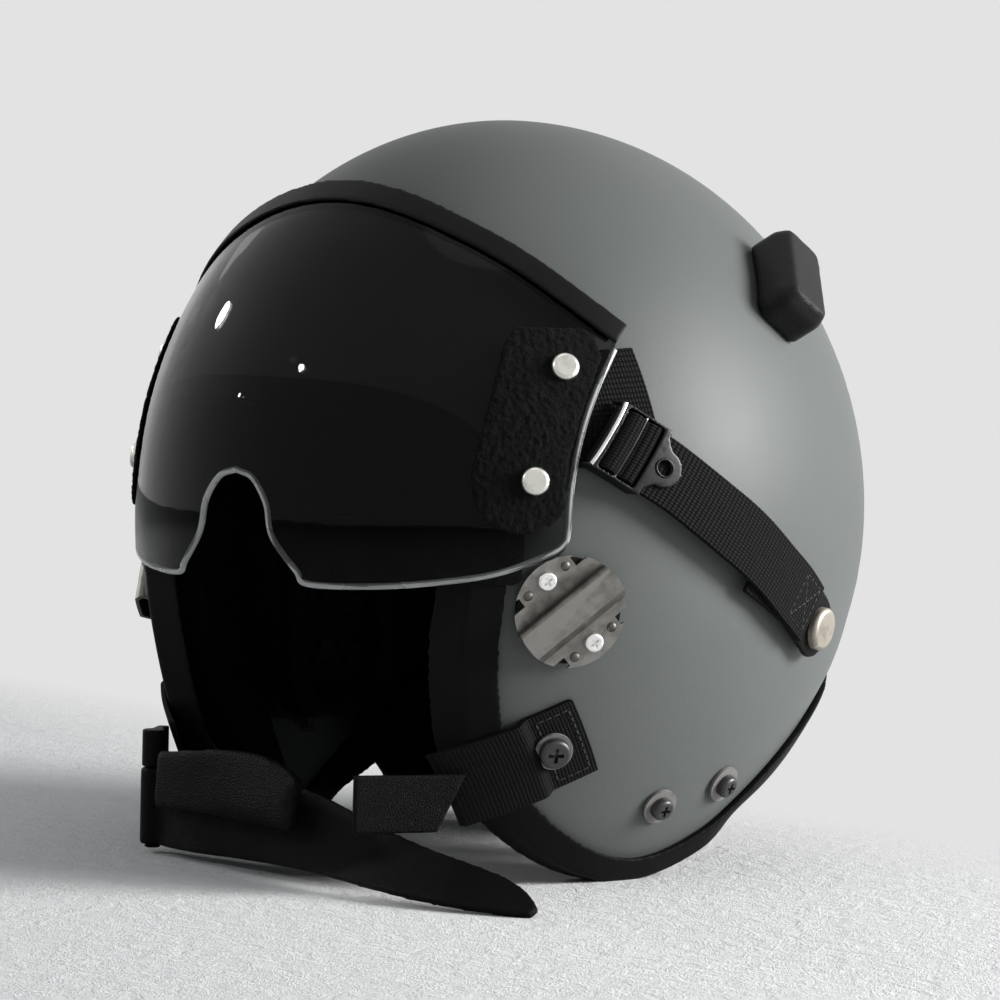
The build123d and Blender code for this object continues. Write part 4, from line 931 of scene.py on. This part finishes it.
# the front wire's pale metal is a painted highlight
bothSides(tube("leftFrontWire", frontWire, buckleSizes["wire"]), "FrontWire", "buckle_", brightWire)
middleWire = [
    strapSpot(strapSizes["buckleMiddle"], aside * buckleSizes["barReach"], buckleSizes["barRise"]) for aside in acrossShares
]
bothSides(tube("leftMiddleWire", middleWire, buckleSizes["bar"]), "MiddleWire", "buckle_", buckleMetal)
holeMiddle = buckleRear - buckleSizes["holeBack"]
holeRim = [
    strapSpot(holeMiddle + buckleSizes["hole"] * cos(turn), buckleSizes["hole"] * sin(turn), buckleSizes["rimRise"])
    for turn in [k * pi / 20 for k in range(40)]
]
bothSides(tube("leftHoleRim", holeRim, buckleSizes["rim"], closed=True), "HoleRim", "buckle_", buckleMetal)
print("buckles made")

# the lens's polished edge, as a bead along its rear, lower and nose edges, coloured pale as a painted highlight
rimSizes = {
    "gap": 0.005, "radius": 0.00108, "corner": [(-0.633, -0.030), (-0.665, -0.062)],
    "low": [(-0.759, -0.116), (-0.856, -0.145), (-0.936, -0.162)],
    "nose": [(0.235, -0.165), (0.2, -0.13), (0.13, -0.04), (0.108, 0.05), (0.06, 0.118), (0.0, 0.1395)],
}


def sideSpot(share, gap):
    y, z = sharePlace(*share)
    return Vector((domeX(y, z, gap), y, z))


def frontSpot(share, gap):
    # place on the helmet's front from shares of the front reach across and of the lobe's drop up
    x, level = share[0] * dome["frontReach"], share[1] * dome["lobeDrop"]
    side, front = halfSizes(level, gap)[:2]
    return Vector((x, dome["centreY"] - front * shrink(x, side), dome["centreZ"] + level))


def lensEdgeLine():
    shares = [*reversed(rearEdgeShares[1:-1]), *rimSizes["corner"], *rimSizes["low"]]
    side = [sideSpot(share, rimSizes["gap"]) for share in shares]
    nose = [frontSpot(share, rimSizes["gap"]) for share in rimSizes["nose"]]
    return smoothLine([*side, *nose], 12)


bothSides(tube("leftLensEdge", lensEdgeLine(), rimSizes["radius"]), "LensEdge", "visor", lensEdgeHighlight)
print("lens edge made")

# small stamped dimples on the receivers
receiverSizes = {
    "share": (-0.584, -0.217), "turn": 40.0, "top": 0.00305, "screw": 0.0132, "dimple": 0.0017, "flat": 0.55, "reach": 0.0078,
}
onReceiver = facePlace(*receiverSizes["share"], receiverSizes["turn"])


def receiverDimples():
    bpy.ops.object.select_all(action="DESELECT")
    made = []
    for alongSign in (-1, 1):
        for acrossSign in (-1, 1):
            bpy.ops.mesh.primitive_uv_sphere_add(
                segments=24, ring_count=12, radius=receiverSizes["dimple"],
                location=(alongSign * receiverSizes["reach"], acrossSign * receiverSizes["screw"], receiverSizes["top"]),
            )
            bead = bpy.context.object
            bead.scale.z = receiverSizes["flat"]
            bpy.ops.object.transform_apply(location=True, rotation=True, scale=True)
            made.append(bead)
    bpy.ops.object.select_all(action="DESELECT")
    for bead in made:
        bead.select_set(True)
    bpy.context.view_layer.objects.active = made[0]
    bpy.ops.object.join()
    piece = bpy.context.object
    piece.name = "leftReceiverDimples"
    smoothShade(piece, 80)
    return move(piece, onReceiver)


bothSides(receiverDimples(), "ReceiverDimples", "helmet", steel)
print("receivers detailed")

# visor stops: moulded blocks on the upper rear
stopSizes = {"voxel": 0.0009, "smoothing": 14}
for side in ("left", "right"):
    block = meltedCopy("visor_stop_" + side, side + "VisorStop", **stopSizes)
    settle(block, "helmet", stopRubber, ["visor_stop_" + side])
print("visor stops made")

# chin strap, its anchor and the leather tab end
leatherPlans = {"chin_strap": ("chin", 0.0007), "chin_anchor": ("helmet", 0.0005), "tab_end_left": ("helmet", 0.0005)}
for node, (body, voxel) in leatherPlans.items():
    strapPiece = meltedCopy(node, node.replace("_", "") + "Leather", voxel, 6)
    settle(strapPiece, body, leather, [node])
print("chin strap made")

# pads
padPlans = [
    ("crown_pad", "crownCushion", "helmet", 0.0035, 3.0, 0.005, 0.0015),
    ("brow_pad", "browCushion", "helmet", 0.0030, 3.0, 0.004, 0.0012),
    ("rear_pad", "rearCushion", "helmet", 0.0030, 3.0, 0.004, 0.0012),
    ("nape_collar_left", "leftCollar", "helmet", 0.0025, 3.0, 0.003, 0.0008),
    ("nape_collar_right", "rightCollar", "helmet", 0.0025, 3.0, 0.003, 0.0008),
    ("nape_pad", "napeCushion", "helmet", 0.0030, 3.0, 0.004, 0.0012),
    ("chin_pad", "chinCushion", "chin", 0.0018, 3.0, 0.003, 0.0006),
    ("ear_seal_left", "leftEarSeal", "helmet", 0.0025, 3.0, 0.003, 0.0010),
    ("ear_seal_right", "rightEarSeal", "helmet", 0.0025, 3.0, 0.003, 0.0010),
]
for node, name, body, voxel, pressure, cap, inset in padPlans:
    cushion = stuffedCopy(node, name, voxel, pressure, cap, inset)
    settle(cushion, body, padLeather, [node])
napeBand = meltedCopy("nape_strap", "napeBand", 0.0007, 5)
settle(napeBand, "helmet", napeWebbing, ["nape_strap"])
print("pads made")

# floor, light and camera
stageLook = {
    "floor": (0.644, 0.644, 0.644), "paler": (0.735, 0.735, 0.735), "fibres": 420.0, "depth": 0.0007, "floorSize": 6.0,
    "sheetEdge": 0.04, "fade": 0.12, "edgeRun": (0.146, 0.989),
    "background": (0.767, 0.767, 0.767), "skyTint": (0.9, 0.95, 1.0), "ambient": 0.22,
}


def makeFelt():
    material, tree, shader, spots = startMaterial("paleFelt", 0.95, Specular_IOR_Level=0.1)
    fibres = useGroup(tree, fibreGroup, Vector=spots.outputs["Object"], Scale=stageLook["fibres"])
    tone = blendColours(tree, fibres.outputs["Shade"], stageLook["floor"], stageLook["paler"])
    tree.links.new(tone, shader.inputs["Base Color"])
    bump(tree, shader, fibres.outputs["Height"], stageLook["depth"])
    # the sheet ends behind the helmet, and beyond it the camera sees the backdrop
    split = addNode(tree, "ShaderNodeSeparateXYZ", {"Vector": spots.outputs["Object"]}).outputs
    alongX, alongY = stageLook["edgeRun"]
    run = calculate(tree, "MULTIPLY_ADD", split[0], alongX, calculate(tree, "MULTIPLY", split[1], alongY))
    over = calculate(tree, "SUBTRACT", run, stageLook["sheetEdge"])
    past = calculate(tree, "DIVIDE", over, stageLook["fade"], clamp=True)
    share = calculate(tree, "MULTIPLY", past, addNode(tree, "ShaderNodeLightPath").outputs["Is Camera Ray"])
    backdrop = addNode(tree, "ShaderNodeEmission", {"Color": (*stageLook["background"], 1)})
    mix = addNode(tree, "ShaderNodeMixShader", {0: share, 1: shader.outputs[0], 2: backdrop.outputs[0]})
    tree.links.new(mix.outputs[0], tree.nodes["Material Output"].inputs["Surface"])
    return material


bpy.ops.object.select_all(action="DESELECT")
bpy.ops.mesh.primitive_plane_add(size=stageLook["floorSize"], location=(0, 0, 0))
floor = bpy.context.object
floor.name = "floorSheet"
floor.data.materials.append(makeFelt())

world = bpy.data.worlds.new("studio")
scene.world = world
world.use_nodes = True
worldTree = world.node_tree
dim = worldTree.nodes["Background"]
dim.inputs["Color"].default_value = (*stageLook["skyTint"], 1)
dim.inputs["Strength"].default_value = stageLook["ambient"]
shown = addNode(worldTree, "ShaderNodeBackground", {"Color": (*stageLook["background"], 1), "Strength": 1.0})
rays = addNode(worldTree, "ShaderNodeLightPath").outputs
bounced = calculate(worldTree, "MAXIMUM", rays["Is Glossy Ray"], rays["Is Transmission Ray"])
seen = calculate(worldTree, "MAXIMUM", rays["Is Camera Ray"], bounced)
pick = addNode(worldTree, "ShaderNodeMixShader", {0: seen, 1: dim.outputs[0], 2: shown.outputs[0]})
worldTree.links.new(pick.outputs[0], worldTree.nodes["World Output"].inputs["Surface"])

helmetMiddle = Vector((0, dome["centreY"], dome["centreZ"]))
lampPlans = {
    "keyLamp": {"place": (1.5, 0.95, 0.7), "size": 0.9, "power": 76.0},
    "topLamp": {"place": (0.2, -0.1, 1.9), "size": 1.2, "power": 2.5},
    "sideWindow": {"place": (-1.4, -0.242, 0.778), "size": 0.12, "power": 4.0},
    "highSpot": {"place": (-0.599, -1.264, 0.935), "size": 0.045, "power": 2.0},
    "lowSpot": {"place": (-1.119, -1.006, 0.661), "size": 0.03, "power": 0.5},
}
for name, plan in lampPlans.items():
    data = bpy.data.lights.new(name, "AREA")
    data.shape = "DISK"
    data.size = plan["size"]
    data.energy = plan["power"]
    lamp = bpy.data.objects.new(name, data)
    scene.collection.objects.link(lamp)
    lamp.location = plan["place"]
    lamp.rotation_euler = (helmetMiddle - lamp.location).to_track_quat("-Z", "Y").to_euler()

cameraPlan = {"place": (0.8552, -0.9823, 0.1921), "lens": 130.1, "roll": 1.45, "shift": (-0.0036, 0.0093)}
cameraData = bpy.data.cameras.new("camera")
cameraData.lens = cameraPlan["lens"]
cameraData.sensor_width = 36.0
cameraData.shift_x, cameraData.shift_y = cameraPlan["shift"]
cameraData.clip_start = 0.05
camera = bpy.data.objects.new("camera", cameraData)
scene.collection.objects.link(camera)
looking = (helmetMiddle - Vector(cameraPlan["place"])).to_track_quat("-Z", "Y").to_matrix().to_4x4()
camera.matrix_world = Matrix.Translation(cameraPlan["place"]) @ looking @ Matrix.Rotation(radians(cameraPlan["roll"]), 4, "Z")
scene.camera = camera
scene.view_settings.view_transform = "Standard"
print("stage made")
